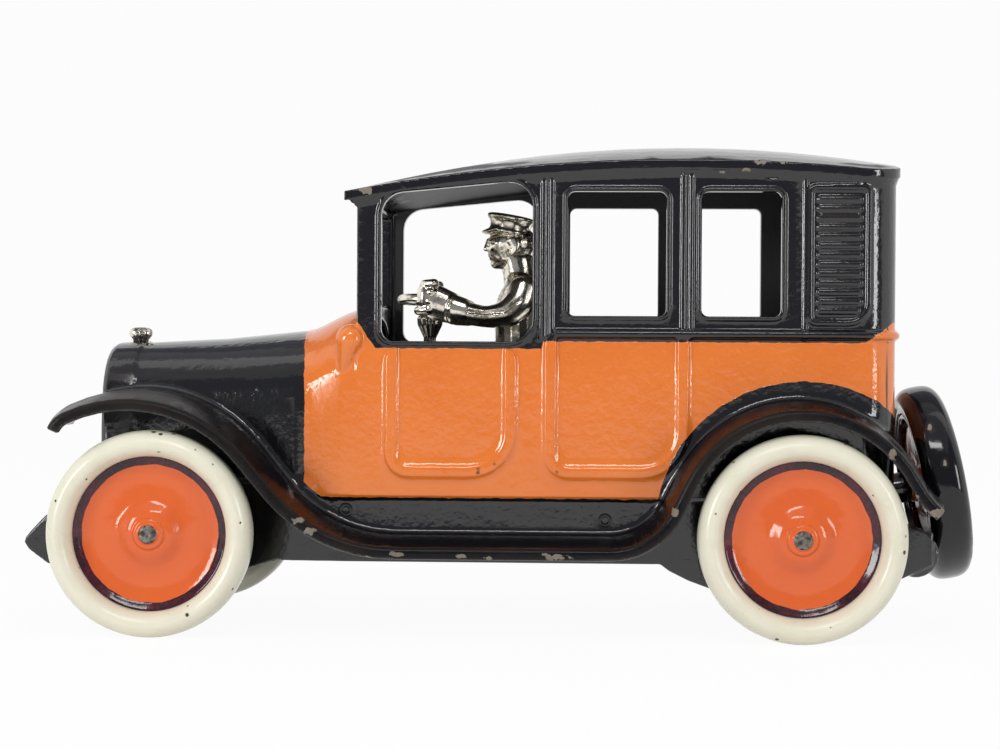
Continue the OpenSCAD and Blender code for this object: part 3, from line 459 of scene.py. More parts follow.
def tyre_enamel(colours):
    """Cream enamel dipped on a cast tyre.

    Soft gloss, greyed in patches, with dark pinholes where the paint broke."""
    material, tree, shader = new_material("Dipped_cream_enamel")
    place = add(tree, "ShaderNodeTexCoord").outputs["Object"]
    fine, grime = (
        add(tree, "ShaderNodeTexNoise", {"Vector": place, "Scale": per(mm), "Detail": 3.0}).outputs["Fac"]
        for mm in (0.8, 9.0)
    )
    holes = add(tree, "ShaderNodeTexVoronoi", {"Vector": place, "Scale": per(4.0)}).outputs["Distance"]
    torn = add(tree, "ShaderNodeMath", {0: fine, 1: 0.12, 2: holes}, operation="MULTIPLY_ADD").outputs[0]
    flock = add(tree, "ShaderNodeMath", {0: grime, 1: -0.5, 2: torn}, operation="MULTIPLY_ADD").outputs[0]
    dot = add(tree, "ShaderNodeMapRange", {"Value": flock, "From Min": -0.09, "From Max": -0.13}).outputs[0]
    soil = add(
        tree, "ShaderNodeMapRange", {"Value": grime, "From Min": 0.45, "From Max": 0.8, "To Max": 0.5}
    ).outputs[0]
    cream = add(
        tree, "ShaderNodeMix", {"Factor": soil, "A": opaque(colours.cream), "B": opaque(linear("#CFCBB2"))},
        data_type="RGBA",
    ).outputs["Result"]
    colour = add(
        tree, "ShaderNodeMix", {"Factor": dot, "A": cream, "B": opaque(linear("#3A362C"))}, data_type="RGBA"
    ).outputs["Result"]
    rough = add(tree, "ShaderNodeMapRange", {"Value": grime, "To Min": 0.15, "To Max": 0.35}).outputs[0]
    bump = add(tree, "ShaderNodeBump", {"Height": grime, "Distance": 0.15 * MM, "Strength": 1.0}).outputs[0]
    dress(tree, shader, colour, rough, bump)
    return material


def black_enamel(colours):
    """Black enamel dipped on iron, knocked off in places down to grey metal, brown round the knocks."""
    material, tree, shader = new_material("Dipped_black_enamel")
    place = add(tree, "ShaderNodeTexCoord").outputs["Object"]
    chip = add(tree, "ShaderNodeAttribute", attribute_name="chip_depth").outputs["Fac"]
    fine, wave = (
        add(tree, "ShaderNodeTexNoise", {"Vector": place, "Scale": per(mm), "Detail": 3.0}).outputs["Fac"]
        for mm in (1.9, 9.0)
    )
    knocks = add(tree, "ShaderNodeMath", {0: fine, 1: 2.0, 2: chip}, operation="MULTIPLY_ADD").outputs[0]
    chipped = add(tree, "ShaderNodeMapRange", {"Value": knocks, "From Min": 1.24, "From Max": 1.3}).outputs[0]
    thin = add(tree, "ShaderNodeMapRange", {"Value": knocks, "From Min": 0.4, "From Max": 1.3}).outputs[0]
    black = add(
        tree, "ShaderNodeMix", {"Factor": thin, "A": opaque(colours.black), "B": opaque(colours.brown)},
        data_type="RGBA",
    ).outputs["Result"]
    colour = add(
        tree, "ShaderNodeMix", {"Factor": chipped, "A": black, "B": opaque(colours.iron)}, data_type="RGBA"
    ).outputs["Result"]
    rough = add(tree, "ShaderNodeMapRange", {"Value": thin, "To Min": 0.1, "To Max": 0.4}).outputs[0]
    relief = add(tree, "ShaderNodeMath", {0: chipped, 1: -2.0, 2: wave}, operation="MULTIPLY_ADD").outputs[0]
    height = add(tree, "ShaderNodeMath", {0: fine, 1: 0.4, 2: relief}, operation="MULTIPLY_ADD").outputs[0]
    bump = add(tree, "ShaderNodeBump", {"Height": height, "Distance": 0.08 * MM, "Strength": 1.0}).outputs[0]
    dress(tree, shader, colour, rough, bump)
    return material


def nickel_plate(colours, stain="#857C6B"):
    """Nickel plate on a small casting, aged: warm grey mirror, clouded and darkened by tarnish."""
    material, tree, shader = new_material("Nickel_plated_casting")
    place = add(tree, "ShaderNodeTexCoord").outputs["Object"]
    grain, cloud = (
        add(tree, "ShaderNodeTexNoise", {"Vector": place, "Scale": per(mm), "Detail": 3.0}).outputs["Fac"]
        for mm in (0.9, 3.5)
    )
    patch = add(tree, "ShaderNodeMath", {0: grain, 1: 0.5, 2: cloud}, operation="MULTIPLY_ADD").outputs[0]
    tarnish = add(tree, "ShaderNodeMapRange", {"Value": patch, "From Min": 0.6, "From Max": 0.82}).outputs[0]
    colour = add(
        tree, "ShaderNodeMix", {"Factor": tarnish, "A": opaque(linear(stain)), "B": opaque(colours.nickel)},
        data_type="RGBA",
    ).outputs["Result"]
    rough = add(tree, "ShaderNodeMapRange", {"Value": tarnish, "To Min": 0.3, "To Max": 0.18}).outputs[0]
    bump = add(tree, "ShaderNodeBump", {"Height": grain, "Distance": 0.02 * MM, "Strength": 1.0}).outputs[0]
    shader.inputs["Metallic"].default_value = 1.0
    dress(tree, shader, colour, rough, bump)
    return material


def axle_steel(colours):
    """Drawn steel wire with hammered ends: dull grey, pitted, dark in the pits."""
    material, tree, shader = new_material("Hammered_steel_wire")
    place = add(tree, "ShaderNodeTexCoord").outputs["Object"]
    pits = add(tree, "ShaderNodeTexNoise", {"Vector": place, "Scale": per(0.9), "Detail": 4.0}).outputs["Fac"]
    mark = add(tree, "ShaderNodeMapRange", {"Value": pits, "From Min": 0.4, "From Max": 0.6}).outputs[0]
    colour = add(
        tree, "ShaderNodeMix", {"Factor": mark, "A": opaque(linear("#4A4743")), "B": opaque(colours.steel)},
        data_type="RGBA",
    ).outputs["Result"]
    rough = add(tree, "ShaderNodeMapRange", {"Value": pits, "To Min": 0.55, "To Max": 0.35}).outputs[0]
    bump = add(tree, "ShaderNodeBump", {"Height": pits, "Distance": 0.25 * MM, "Strength": 1.0}).outputs[0]
    shader.inputs["Metallic"].default_value = 1.0
    dress(tree, shader, colour, rough, bump)
    return material


# Where the orange coat stops, in side view, in millimetres
COWL_LINE, COWL_LEAN = -46.2, 2.3
COWL_CORNER, COWL_CORNER_SLOPE = (-46.1, 36.0), (0.624, 0.782)
BODY_BOTTOM, BODY_SIDE, BODY_BACK, FENDER_TOP = 32.7, 32.1, 96.3, 60.0
FRONT_BELT, REAR_BELT, BELT_STEP = 68.4, 70.2, 10.9
PILLAR_FOOT, PILLAR_SLOPE = (-29.0, 68.4), (0.818, 0.576)
ARCH_CENTRE, ARCH_RADIUS = (73.0, 26.0), 35.0
BACK_SWEEP, BACK_SWEEP_LONG = (87.3, 0.7), 7.0
CORNER_CENTRE, CORNER_SKIN, CAB_FRONT = (86.5, 22.0), 7.4, -32.0
COWL_HALF_WIDTH, COWL_CORE, ARCH_SIDE = 29.0, 50.0, 31.0
# A reach that no other edge exceeds, and one well inside the black
CLEAR, ALL_BLACK = 9.0, -3.0

# The bare inside of the cab: half width, front, back and top
INSIDE_HALF, INSIDE_FRONT, INSIDE_BACK, INSIDE_TOP = 28.6, -30.0, 93.0, 113.0
# Fenders and running board are trodden dull outside this half width where they face up or outward
BOARD_SIDE, BOARD_FACING = 32.5, -0.3
# Edges wear brown below this height, and much less above it
WEAR_LINE, WEAR_BELOW, WEAR_ABOVE = 62.0, 5.0, 1.5
# Enamel over a cross rivet: how far it lies below the rivet's end, its radius and its depth
PLUG_SINK, PLUG_RADIUS, PLUG_DEPTH = 0.12, 2.8, 1.6
# The mesh stays fine this near a paint edge, and from this share of a chip inward
FINE_EDGE, FINE_CHIP = 1.3, -0.5

# Chips broken out of the enamel of the left casting: x, y, z, length along X, height, in millimetres
CHIPS = (
    (-45.4, -44.5, 28.2, 2.0, 1.2), (-42.6, -44.5, 25.6, 2.4, 1.2), (-29.0, -44.5, 19.4, 1.6, 0.9),
    (-22.5, -44.5, 20.6, 2.4, 0.9), (-7.6, -44.5, 20.2, 2.0, 0.8), (-1.1, -44.5, 19.8, 1.4, 0.9),
    (15.0, -44.5, 20.2, 4.2, 1.3), (42.1, -44.5, 30.7, 1.2, 1.4), (57.1, -44.0, 53.6, 3.4, 1.3),
    (70.6, -44.0, 55.9, 4.4, 1.5), (81.4, -44.3, 53.9, 2.4, 1.2), (92.0, -44.4, 44.7, 1.6, 2.4),
    (97.3, -44.4, 34.3, 1.2, 1.8), (102.1, -44.0, 31.2, 3.2, 1.4), (-31.3, -32.0, 106.0, 2.2, 1.0),
    (53.2, -32.0, 110.5, 1.4, 0.8), (59.1, -32.0, 111.0, 2.0, 0.9), (63.0, -31.0, 113.0, 3.0, 1.4),
    (67.7, -31.0, 112.8, 2.0, 1.0),
)

# Chips of the spare tyre, along its back edge and on its tread
SPARE_CHIPS = (
    (115.1, -8, 29.8, 1.0, 1.3), (115.7, -8, 23.0, 1.0, 1.6), (116.2, -8, 18.8, 1.0, 1.2),
    (112.0, -10, 46.5, 0.9, 0.8), (104.6, -18, 50.0, 0.9, 1.0), (107.4, -20, 41.5, 0.8, 0.9),
    (112.6, -14, 27.0, 0.8, 1.2),
)


def orange_reach(points):
    """How far inside the orange coat each point lies, in millimetres, below zero in the black."""
    x, y, z = points.T
    side = np.abs(y)
    cowl = x - COWL_LINE + COWL_LEAN * np.clip(1 - (side / COWL_HALF_WIDTH) ** 2, 0, 1)
    corner = (x - COWL_CORNER[0]) * COWL_CORNER_SLOPE[0] + (z - COWL_CORNER[1]) * COWL_CORNER_SLOPE[1]
    pillar = -((x - PILLAR_FOOT[0]) * PILLAR_SLOPE[0] + (z - PILLAR_FOOT[1]) * PILLAR_SLOPE[1])
    sweep = np.clip(x - BACK_SWEEP[0], 0, BACK_SWEEP_LONG) * BACK_SWEEP[1]
    top = np.where(x > BELT_STEP, REAR_BELT + sweep - z, np.maximum(FRONT_BELT - z, pillar))
    inward = ARCH_SIDE - np.minimum(side, ARCH_SIDE)
    arch = np.sqrt((x - ARCH_CENTRE[0]) ** 2 + (z - ARCH_CENTRE[1]) ** 2 + inward**2)
    beyond = np.where(z < FENDER_TOP, BODY_SIDE - side, CLEAR)
    return np.minimum.reduce([cowl, corner, z - BODY_BOTTOM, top, arch - ARCH_RADIUS, beyond, BODY_BACK - x])


def outer_skin(points, normals):
    """Whether each point lies on the outside of the cab or cowl, where the orange coat went."""
    x, y, z = points.T
    outward = normals[:, 1] * y + normals[:, 2] * (z - COWL_CORE) > 0
    past = np.hypot(np.maximum(x - CORNER_CENTRE[0], 0), np.maximum(np.abs(y) - CORNER_CENTRE[1], 0))
    return np.where(x < CAB_FRONT, outward, past > CORNER_SKIN)


def chip_depth(points, chips, across=2.5):
    """How far inside a chip each point lies, as a share of the chip's size."""
    depth = np.full(len(points), NO_CHIP)
    for x, y, z, long, high in chips:
        away = (points - (x, y, z)) / (long, across, high)
        depth = np.maximum(depth, 1 - np.linalg.norm(away, axis=1))
    return depth


def paint_edge(points):
    """Whether a point lies near the end of the orange coat or in a chip, where the mesh stays fine."""
    return (np.abs(orange_reach(points)) < FINE_EDGE) | (chip_depth(points, CHIPS) > FINE_CHIP)


class TAXI_OT_body(bpy.types.Operator):
    """Both halves of the body casting, their edges melted and their enamel laid out"""

    bl_idname = "taxi.body"
    bl_label = "Body castings"

    def execute(self, context):
        sizes, colours = context.scene.taxi_sizes, context.scene.taxi_colours
        plug = [(0, PLUG_SINK), (PLUG_RADIUS, PLUG_SINK), (PLUG_RADIUS, PLUG_DEPTH), (0, PLUG_DEPTH)]
        plugs = []
        for name in ("front_rivet", "rear_rivet"):
            low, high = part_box(name)
            middle = Vector(((low.x + high.x) / 2, low.y, (low.z + high.z) / 2))
            place = Matrix.Translation(middle) @ Matrix.Rotation(-math.pi / 2, 4, "X")
            plugs.append(turned(plug, 32, place))
        source = pile([welded(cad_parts["body_left"].data.copy()), *plugs])
        left = melted(source, sizes.melt, BODY_FACES, pool=40, keep=paint_edge)
        points = array_of(left.vertices, "co", 3) / MM
        normals = array_of(left.vertices, "normal", 3)
        edges = array_of(left.edges, "vertices", 2, np.int32)
        skin = outer_skin(points, normals)
        x, y, z = points.T
        hollow = (np.abs(y) < INSIDE_HALF) & (x > INSIDE_FRONT) & (x < INSIDE_BACK) & (z < INSIDE_TOP)
        store(left, "orange_reach", np.where(skin, orange_reach(points), ALL_BLACK))
        store(left, "inside", hollow)
        store(left, "tread", (np.abs(y) > BOARD_SIDE) & (z < FENDER_TOP) & (normals[:, 2] > BOARD_FACING))
        rubbed = np.where(z > WEAR_LINE, WEAR_ABOVE, WEAR_BELOW)
        store(left, "edge_wear", np.clip(swelling(points, normals, edges, 4) * rubbed, 0, 1))
        store(left, "chip_depth", chip_depth(points, CHIPS))
        right = left.copy()
        right.transform(Matrix.Scale(-1, 4, (0, 1, 0)))
        right.flip_normals()
        enamel = body_enamel(colours, sizes)
        piece("left_casting", left, enamel, "body", "body_enamel", "body_left")
        piece("right_casting", right, enamel, "body", "body_enamel", "body_right")
        return {"FINISHED"}


def wheel_place(node):
    """The frame of a wheel: origin at its centre, local Z pointing out of the car."""
    low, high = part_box(node)
    middle = (low + high) / 2
    turn = math.pi / 2 if middle.y < 0 else -math.pi / 2
    return Matrix.Translation(middle) @ Matrix.Rotation(turn, 4, "X")


SPARE_LEAN = math.radians(10.6)


def spare_place():
    """The frame of the spare wheel, leaning forward at its top, local Z pointing back."""
    low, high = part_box("spare_tyre")
    return Matrix.Translation((low + high) / 2) @ Matrix.Rotation(math.pi / 2 - SPARE_LEAN, 4, "Y")


# Turned profiles of a wheel in millimetres: radius, height towards the outer face
TYRE_PROFILE = (
    (18.22, -4.2), (18.22, 0.0), (18.24, 1.6), (18.5, 2.6), (19.0, 3.5), (19.7, 4.3), (20.6, 4.8),
    (21.6, 4.95), (22.8, 4.4), (23.75, 3.4), (24.25, 2.0), (24.38, 0.0), (24.25, -2.0), (23.75, -3.4),
    (22.8, -4.4), (21.7, -4.95), (20.5, -4.9), (19.3, -4.5),
)
DISC_PROFILE = (
    (1.97, 2.3), (2.6, 2.4), (3.3, 2.3), (3.7, 1.95), (3.95, 1.7), (4.5, 1.6), (5.4, 1.25), (6.4, 0.65),
    (7.4, 0.05), (8.4, -0.35), (10.0, -0.6), (12.5, -0.7), (14.6, -0.5), (16.2, 0.0), (17.3, 0.65),
    (18.0, 1.0), (18.2, 0.6), (18.2, -2.0), (18.1, -4.1), (16.8, -4.1), (16.6, -2.2), (14.2, -3.2),
    (9.0, -3.0), (5.0, -2.4), (4.2, -3.4), (3.9, -5.5), (1.97, -5.55),
)
# The spare disc's smaller bore, the height of its hub and the length of its pin
SPARE_BORE, SPARE_HUB, SPARE_PIN = 1.6, 2.4, 13.6


class TAXI_OT_wheels(bpy.types.Operator):
    """Four dished discs and four cream tyres, turned from their profiles"""

    bl_idname = "taxi.wheels"
    bl_label = "Wheels"

    def execute(self, context):
        colours, segments = context.scene.taxi_colours, context.scene.taxi_sizes.segments
        orange, cream = disc_enamel(colours), tyre_enamel(colours)
        for name in WHEELS:
            place = wheel_place("tyre_" + name)
            disc = turned(rounded(DISC_PROFILE), segments, place)
            tyre = turned(rounded(TYRE_PROFILE), segments, place)
            piece("wheel_disc_" + name, disc, orange, "wheel_" + name, "orange_enamel", "disc_" + name)
            piece("wheel_tyre_" + name, tyre, cream, "wheel_" + name, "cream_enamel", "tyre_" + name)
        return {"FINISHED"}


class TAXI_OT_spare(bpy.types.Operator):
    """The spare wheel on the tail: black tyre, orange disc and its rivet"""

    bl_idname = "taxi.spare"
    bl_label = "Spare wheel"

    def execute(self, context):
        colours, segments = context.scene.taxi_colours, context.scene.taxi_sizes.segments
        place = spare_place()
        tyre = turned(rounded(TYRE_PROFILE), segments, place)
        disc = turned(rounded([(max(r, SPARE_BORE), h) for r, h in DISC_PROFILE]), segments, place)
        points = array_of(tyre.vertices, "co", 3) / MM
        store(tyre, "chip_depth", chip_depth(points, SPARE_CHIPS, across=12))
        piece("spare_wheel_tyre", tyre, black_enamel(colours), "body", "black_enamel", "spare_tyre")
        piece("spare_wheel_disc", disc, disc_enamel(colours), "body", "orange_enamel", "spare_disc")
        foot = SPARE_HUB - SPARE_PIN
        pin = [(0, foot), (1.5, foot), (1.5, 2.45), (2.2, 2.5), (2.15, 2.8), (1.6, 3.05), (0.8, 3.1),
               (0, 3.1)]
        rivet = turned(pin, 48, place)
        piece("spare_wheel_rivet", rivet, axle_steel(colours), "body", "axle_steel", "spare_rivet")
        return {"FINISHED"}


class TAXI_OT_axles(bpy.types.Operator):
    """Two axle wires with hammered ends and two painted cross rivets"""

    bl_idname = "taxi.axles"
    bl_label = "Axles and rivets"

    def execute(self, context):
        colours = context.scene.taxi_colours
        steel, black = axle_steel(colours), black_enamel(colours)
        for name, radius, dome, material, slot in (
            ("front_axle", 1.9, 0.3, steel, "axle_steel"),
            ("rear_axle", 1.9, 0.3, steel, "axle_steel"),
            ("front_rivet", 1.5, 0.35, black, "black_enamel"),
            ("rear_rivet", 1.5, 0.35, black, "black_enamel"),
        ):
            low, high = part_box(name)
            reach = (high.y - low.y) / 2 / MM
            head = (high.z - low.z) / 2 / MM
            half = [
                (radius, reach - 0.75), (head * 0.96, reach - 0.7), (head, reach - 0.5),
                (head * 0.98, reach - 0.3), (head * 0.8, reach - 0.1), (head * 0.55, reach - 0.02),
                (head * 0.3, reach - dome / 3), (0, reach - dome),
            ]
            profile = [(0, -reach + dome)] + [(r, -h) for r, h in half[::-1][1:]] + half
            place = Matrix.Translation((low + high) / 2) @ Matrix.Rotation(math.pi / 2, 4, "X")
            body = name if name.endswith("axle") else "body"
            wire = turned(profile, 56, place)
            store(wire, "chip_depth", np.full(len(wire.vertices), NO_CHIP))
            piece(name + "_wire", wire, material, body, slot, name)
        return {"FINISHED"}


class TAXI_OT_driver(bpy.types.Operator):
    """The seated driver: peaked cap, buttoned coat, both hands on the wheel"""

    bl_idname = "taxi.driver"
    bl_label = "Driver"

    def execute(self, context):
        sizes, colours = context.scene.taxi_sizes, context.scene.taxi_colours
        cap = Matrix.Translation(Vector((2.4, 0, 101.9)) * MM) @ Matrix.Rotation(math.radians(10), 4, "Y")
        crown = [(0, 0.3), (3, 0.28), (5.2, 0.15), (6.0, -0.1), (6.2, -0.5), (6.05, -0.95), (5.5, -1.6),
                 (5.15, -2.4), (5.1, -3.6), (5.3, -3.8), (5.3, -4.4), (4.6, -4.8), (0, -4.8)]
        parts = [
            balls((5.4, 0, 57.5, 6.2, 8.4, 4.2), (4.8, 0, 66, 6.6, 8.2, 5), (4.6, 0, 74, 6.5, 8.6, 5),
                  (4.6, 0, 80, 6.2, 9.0, 4.6), (4.9, 0, 83.4, 4.6, 8.8, 3.4),
                  (4.2, 0, 86, 3.6, 5.2, 2.2), steps=24),
            balls((4.6, 0, 85, 4.2, 4.2, 2.4), (4.2, 0, 88, 4.2, 3.7, 2.4), (3.6, 0, 91, 4.4, 3.6, 2.6)),
            balls((3.2, 0, 95.2, 5.4, 4.5, 4.6), (1.0, 0, 95.2, 5.0, 4.2, 4.2),
                  (0.3, 0, 92.6, 4.0, 3.6, 3.4)),
            balls((1.2, 0, 91.6, 3.8, 3.5, 2.6), (-0.4, 0, 90.4, 2.6, 2.6, 1.9),
                  (-1.3, 0, 89.8, 1.7, 1.8, 1.3)),
            balls((-3.5, 0, 95.8, 0.6, 0.6, 0.6), (-3.8, 0, 94.6, 0.7, 0.65, 0.6),
                  (-4.1, 0, 93.6, 0.75, 0.8, 0.6)),
            balls((-2.9, 0, 91.8, 0.75, 1.3, 0.36), (-2.8, 0, 91.8, 0.75, 1.3, 0.36)),
            balls((-2.65, 0, 91.0, 0.75, 1.1, 0.34), (-2.55, 0, 91.0, 0.75, 1.1, 0.34)),
            balls((-0.6, 0, 98.6, 3.0, 4.7, 1.1), (-2.9, 0, 98.0, 2.4, 3.5, 0.7)),
            turned(crown, 72, cap),
        ]
        for s in (-1, 1):
            parts += [
                balls((-2.9, 1.6 * s, 95.6, 0.8, 1.3, 0.5), (-2.3, 2.9 * s, 95.3, 0.8, 0.8, 0.5)),
                balls((-2.6, 1.65 * s, 94.45, 0.7, 0.85, 0.45), (-2.5, 1.7 * s, 94.45, 0.7, 0.85, 0.45)),
                balls((-1.9, 2.2 * s, 92.6, 1.3, 1.2, 1.3), (-0.9, 2.6 * s, 91.8, 1.4, 1.0, 1.5)),
                balls((3.0, 4.4 * s, 95.6, 1.6, 0.8, 1.2), (3.6, 4.6 * s, 94.2, 1.2, 0.7, 1.5),
                      (2.6, 4.2 * s, 92.6, 0.9, 0.6, 1.1)),
                balls((5.8, 7.8 * s, 83.2, 3.9, 3.2, 3.6), (4.8, 9.0 * s, 79.8, 3.9, 3.2, 3.5),
                      (1.4, 9.4 * s, 77.0, 3.6, 3.1, 3.1), (-3.6, 9.2 * s, 76.3, 3.0, 2.9, 2.6),
                      (-9.4, 8.4 * s, 77.4, 2.8, 2.7, 2.9)),
                balls((-9.0, 8.4 * s, 77.6, 2.4, 3.0, 3.4), (-12.0, 8.0 * s, 78.2, 2.4, 2.9, 3.9)),
                balls((-12.0, 7.6 * s, 78.4, 3.0, 2.5, 3.9), (-16.4, 7.0 * s, 79.9, 3.6, 2.7, 4.6),
                      (-18.8, 6.8 * s, 80.9, 2.4, 2.6, 4.4)),
                balls((-12.4, 5.4 * s, 80.2, 1.3, 1.2, 1.4), (-15.6, 5.0 * s, 83.0, 1.2, 1.2, 1.2)),
            ]
            for k in range(4):
                up = 84.6 - 2.2 * k
                front = -19.3 - 0.5 * k
                knuckle = (front + 2.6, 8.5 * s, up, 1.3, 1.2, 1.2)
                bend = (front, 7.2 * s, up - 0.2, 1.3, 1.5, 1.16)
                parts.append(balls(knuckle, bend, (front + 0.6, 5.2 * s, up - 0.3, 1.0, 1.1, 1.05)))
        figure = melted(pile(parts), sizes.figure_melt, FIGURE_FACES, rounds=40)
        lines = []
        for s in (-1, 1):
            lines += [
                (0.35, 0.45, [(-0.5, 2.6 * s, 86.2), (-1.3, 2.0 * s, 83.0), (-1.9, 0.2 * s, 79.0)]),
                (0.3, 0.3, [(-0.5, 3.4 * s, 84.8), (-1.0, 5.0 * s, 83.4), (-1.5, 3.0 * s, 82.0)]),
                (0.4, 0.35, [(5.0, 12.2 * s, 80.5), (1.0, 12.4 * s, 77.6), (-4.0, 12.0 * s, 77.2),
                             (-8.0, 11.2 * s, 77.6)]),
                (0.3, 0.35, [(-12.6, 10.4 * s, 80.0), (-12.9, 10.2 * s, 77.0), (-12.4, 8.4 * s, 74.6)]),
                (0.28, 0.25, [(-3.4, 2.5 * s, 94.45), (-3.5, 0.8 * s, 94.5)]),
            ]
        lines += [(0.22, 0.3, [(-3.6, 1.2, 91.12), (-3.7, 0, 91.1), (-3.6, -1.2, 91.12)]),
                  (0.35, 0.4, [(-1.9, 0, 79), (-2.0, 0, 70)])]
        cut_grooves(figure, lines)
        piece("driver_figure", figure, nickel_plate(colours), "body", "nickel_plate", "driver")
        return {"FINISHED"}


class TAXI_OT_fittings(bpy.types.Operator):
    """The steering wheel on its fluted column and the radiator cap"""

    bl_idname = "taxi.fittings"
    bl_label = "Steering wheel and cap"

    def execute(self, context):
        colours = context.scene.taxi_colours
        nickel = nickel_plate(colours)
        low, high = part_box("steering_wheel")
        x, top, foot = (low.x + high.x) / 2 / MM, high.z / MM, low.z / MM
        tube = 1.45
        arc = (high.x - low.x) / 2 / MM - tube
        rim_z = 80.73
        turn = np.linspace(0, 2 * math.pi, 49)
        rim = [(x + arc * math.cos(a), arc * math.sin(a), rim_z, tube, tube, tube * 0.98) for a in turn]
        parts = [balls(*rim, steps=2)]
        for a in (-20, 20):
            c, s = arc * math.cos(math.radians(a)), arc * math.sin(math.radians(a))
            ends = ((x + way * c, way * s, rim_z, 0.78, 0.78, 0.7) for way in (-1, 1))
            parts.append(balls(*ends, steps=24))
        stem = Matrix.Translation((x * MM, 0, 0))
        cone = [(0, 71.2), (1.7, 71.2), (2.1, 72.0), (3.2, 74.3), (3.4, 76.0), (2.6, 77.0), (2.0, 79.6),
                (0, 79.6)]
        post = [(0, foot), (1.98, foot), (1.98, 53.2), (3.0, 53.3), (2.9, 54.6), (1.9, 55.2), (1.6, 57),
                (1.6, 71.5), (0, 71.5)]
        boss = [(0, 79.2), (2.2, 79.3), (2.3, 80.6), (2.0, 81.6), (1.0, top - 0.1), (0, top)]
        parts += [turned(cone, 96, stem, 12, 0.16), turned(post, 48, stem), turned(boss, 48, stem)]
        wheel = melted(pile(parts), COLUMN_GRID, COLUMN_FACES)
        piece("steering_wheel_and_column", wheel, nickel, "body", "nickel_plate", "steering_wheel")
        low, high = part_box("radiator_cap")
        place = Matrix.Translation(((low.x + high.x) / 2, 0, low.z))
        tall = (high.z - low.z) / MM
        cap = [(0, 0), (1.48, 0), (1.48, tall - 4.2), (1.9, tall - 3.9), (2.0, tall - 3.2), (2.5, tall - 2.7),
               (2.95, tall - 2.1), (3.0, tall - 1.3), (2.7, tall - 0.7), (1.9, tall - 0.25),
               (0.9, tall - 0.05), (0, tall)]
        crown = turned(cap, 96, place, 16, 0.05)
        dark = nickel_plate(colours, stain="#4E473C")
        piece("radiator_filler_cap", crown, dark, "body", "nickel_plate", "radiator_cap")
        return {"FINISHED"}


# The stage, in metres, degrees and watts: half side of the floor, and how white the floor and the
# world look where they are seen directly; the world lights the object at the lower level
FLOOR_HALF, FLOOR_WHITE, WORLD_WHITE, WORLD_LIGHT = 8, 0.95, 0.975, 0.51
# A cloth behind the camera and overhead, which only reflections see: distance, glow, turn and lift
CLOTH_AWAY, CLOTH_GLOW, CLOTH_TURN, CLOTH_LIFT = 1.5, 0.26, (200, 340), (0, 140)
CLOTH_COLUMNS, CLOTH_ROWS = 29, 15
# Lamps: name, azimuth, elevation, distance, width, height, power
LAMPS = (
    ("overhead", 250, 78, 0.9, 1.6, 1.2, 1.5),
    ("window", 222, 10, 1.0, 0.22, 0.36, 3.2),
    ("right_panel", 322, 10, 1.0, 0.18, 0.36, 1.8),
    ("top_strip", 267, 46, 1.0, 0.45, 0.12, 1.8),
)
LAMP_AIM = Vector((0, 0, 0.05))
# The camera: place in metres, turn, dip and roll in radians, sensor and lens in millimetres
CAMERA_PLACE = (0.02167, -0.51738, 0.06781)
CAMERA_TURN, CAMERA_DIP, CAMERA_ROLL = 0.0427, 0.0117, 0.0056
SENSOR, LENS, NEAR = 36, 73.58, 0.01


def towards(azimuth, elevation):
    """The direction of an azimuth and an elevation in degrees."""
    a, e = math.radians(azimuth), math.radians(elevation)
    return Vector((math.cos(a) * math.cos(e), math.sin(a) * math.cos(e), math.sin(e)))


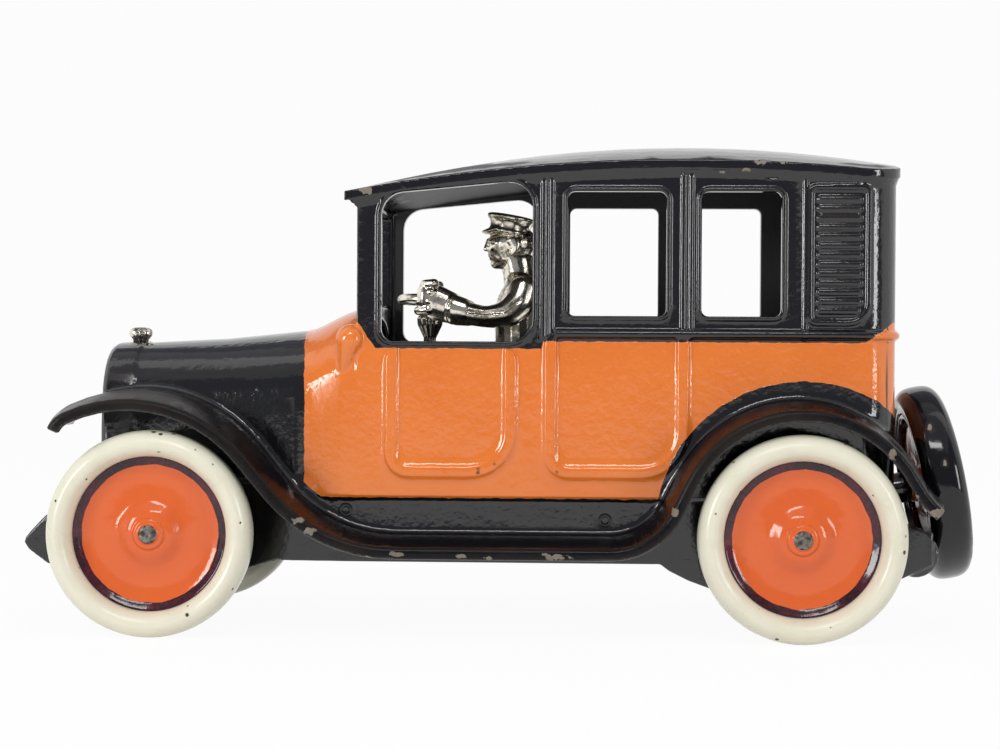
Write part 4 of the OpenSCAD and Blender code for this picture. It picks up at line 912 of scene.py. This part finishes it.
class TAXI_OT_stage(bpy.types.Operator):
    """Plain white floor, soft studio lights, a dark cloth behind the camera and overhead, and the camera"""

    bl_idname = "taxi.stage"
    bl_label = "Stage"

    def execute(self, context):
        scene = context.scene
        scene.view_settings.view_transform = "Standard"
        mesh = bpy.data.meshes.new("floor")
        corners = [(FLOOR_HALF * x, FLOOR_HALF * y, 0) for x, y in ((-1, -1), (1, -1), (1, 1), (-1, 1))]
        mesh.from_pydata(corners, [], [(0, 1, 2, 3)])
        floor = bpy.data.objects.new("floor", mesh)
        scene.collection.objects.link(floor)
        material, tree, shader = new_material("White_paper")
        shader.inputs["Base Color"].default_value = opaque(linear("#F2F2F2"))
        shader.inputs["Roughness"].default_value = 0.9
        glow = add(tree, "ShaderNodeEmission", {"Strength": 1.0}).outputs[0]
        white = add(
            tree, "ShaderNodeMath", {0: seen_directly(tree), 1: FLOOR_WHITE}, operation="MULTIPLY"
        ).outputs[0]
        mix = add(tree, "ShaderNodeMixShader", {0: white, 1: shader.outputs[0], 2: glow}).outputs[0]
        tree.links.new(mix, tree.nodes["Material Output"].inputs["Surface"])
        mesh.materials.append(material)

        cloth = bpy.data.meshes.new("dark_cloth")
        turns = np.linspace(*CLOTH_TURN, CLOTH_COLUMNS)
        points = [CLOTH_AWAY * towards(a, e) for e in np.linspace(*CLOTH_LIFT, CLOTH_ROWS) for a in turns]
        corners = (0, 1, CLOTH_COLUMNS + 1, CLOTH_COLUMNS)
        starts = (j * CLOTH_COLUMNS + i for j in range(CLOTH_ROWS - 1) for i in range(CLOTH_COLUMNS - 1))
        cloth.from_pydata(points, [], [[start + corner for corner in corners] for start in starts])
        card = bpy.data.objects.new("dark_cloth", cloth)
        scene.collection.objects.link(card)
        material, tree, shader = new_material("Dark_cloth")
        shader.inputs["Base Color"].default_value = opaque(linear("#18181A"))
        shader.inputs["Roughness"].default_value = 1.0
        shader.inputs["Emission Color"].default_value = opaque(linear("#F2F4FF"))
        shader.inputs["Emission Strength"].default_value = CLOTH_GLOW
        cloth.materials.append(material)
        card.visible_camera = card.visible_diffuse = card.visible_shadow = False

        world = bpy.data.worlds.new("studio")
        world.use_nodes = True
        tree = world.node_tree
        levels = {"Value": seen_directly(tree), "To Min": WORLD_LIGHT, "To Max": WORLD_WHITE}
        strength = add(tree, "ShaderNodeMapRange", levels).outputs[0]
        tree.links.new(strength, tree.nodes["Background"].inputs["Strength"])
        tree.nodes["Background"].inputs["Color"].default_value = (1, 1, 1, 1)
        scene.world = world

        for name, azimuth, elevation, away, wide, tall, power in LAMPS:
            way = towards(azimuth, elevation)
            data = bpy.data.lights.new(name, "AREA")
            data.shape = "RECTANGLE"
            data.size, data.size_y, data.energy = wide, tall, power
            lamp = bpy.data.objects.new(name, data)
            lamp.location = LAMP_AIM + way * away
            lamp.rotation_euler = (-way).to_track_quat("-Z", "Y").to_euler()
            scene.collection.objects.link(lamp)

        data = bpy.data.cameras.new("camera")
        data.sensor_width, data.lens, data.clip_start = SENSOR, LENS, NEAR
        camera = bpy.data.objects.new("camera", data)
        turn = Matrix.Rotation(CAMERA_TURN, 4, "Z") @ Matrix.Rotation(math.pi / 2 - CAMERA_DIP, 4, "X")
        roll = Matrix.Rotation(CAMERA_ROLL, 4, "Z")
        camera.matrix_world = Matrix.Translation(CAMERA_PLACE) @ turn @ roll
        scene.collection.objects.link(camera)
        scene.camera = camera
        return {"FINISHED"}


OPERATORS = (
    TAXI_OT_body,
    TAXI_OT_wheels,
    TAXI_OT_spare,
    TAXI_OT_axles,
    TAXI_OT_driver,
    TAXI_OT_fittings,
    TAXI_OT_stage,
)


class TAXI_PT_panel(bpy.types.Panel):
    """Every step of the toy taxi with its colours and sizes"""

    bl_idname = "TAXI_PT_panel"
    bl_label = "Toy taxi"
    bl_space_type = "VIEW_3D"
    bl_region_type = "UI"
    bl_category = "Toy taxi"

    def draw(self, context):
        for item in OPERATORS:
            self.layout.operator(item.bl_idname)
        for group in (context.scene.taxi_colours, context.scene.taxi_sizes):
            for name in group.__annotations__:
                self.layout.prop(group, name)


CLASSES = (TaxiColours, TaxiSizes, *OPERATORS, TAXI_PT_panel)


def register():
    for item in CLASSES:
        bpy.utils.register_class(item)
    bpy.types.Scene.taxi_colours = bpy.props.PointerProperty(type=TaxiColours)
    bpy.types.Scene.taxi_sizes = bpy.props.PointerProperty(type=TaxiSizes)


def unregister():
    del bpy.types.Scene.taxi_sizes, bpy.types.Scene.taxi_colours
    for item in reversed(CLASSES):
        bpy.utils.unregister_class(item)


def main():
    """Build every piece and the stage."""
    register()
    for item in OPERATORS:
        group, name = item.bl_idname.split(".")
        if getattr(getattr(bpy.ops, group), name)() != {"FINISHED"}:
            raise RuntimeError(item.bl_label + " did not finish")


if __name__ == "__main__":
    main()
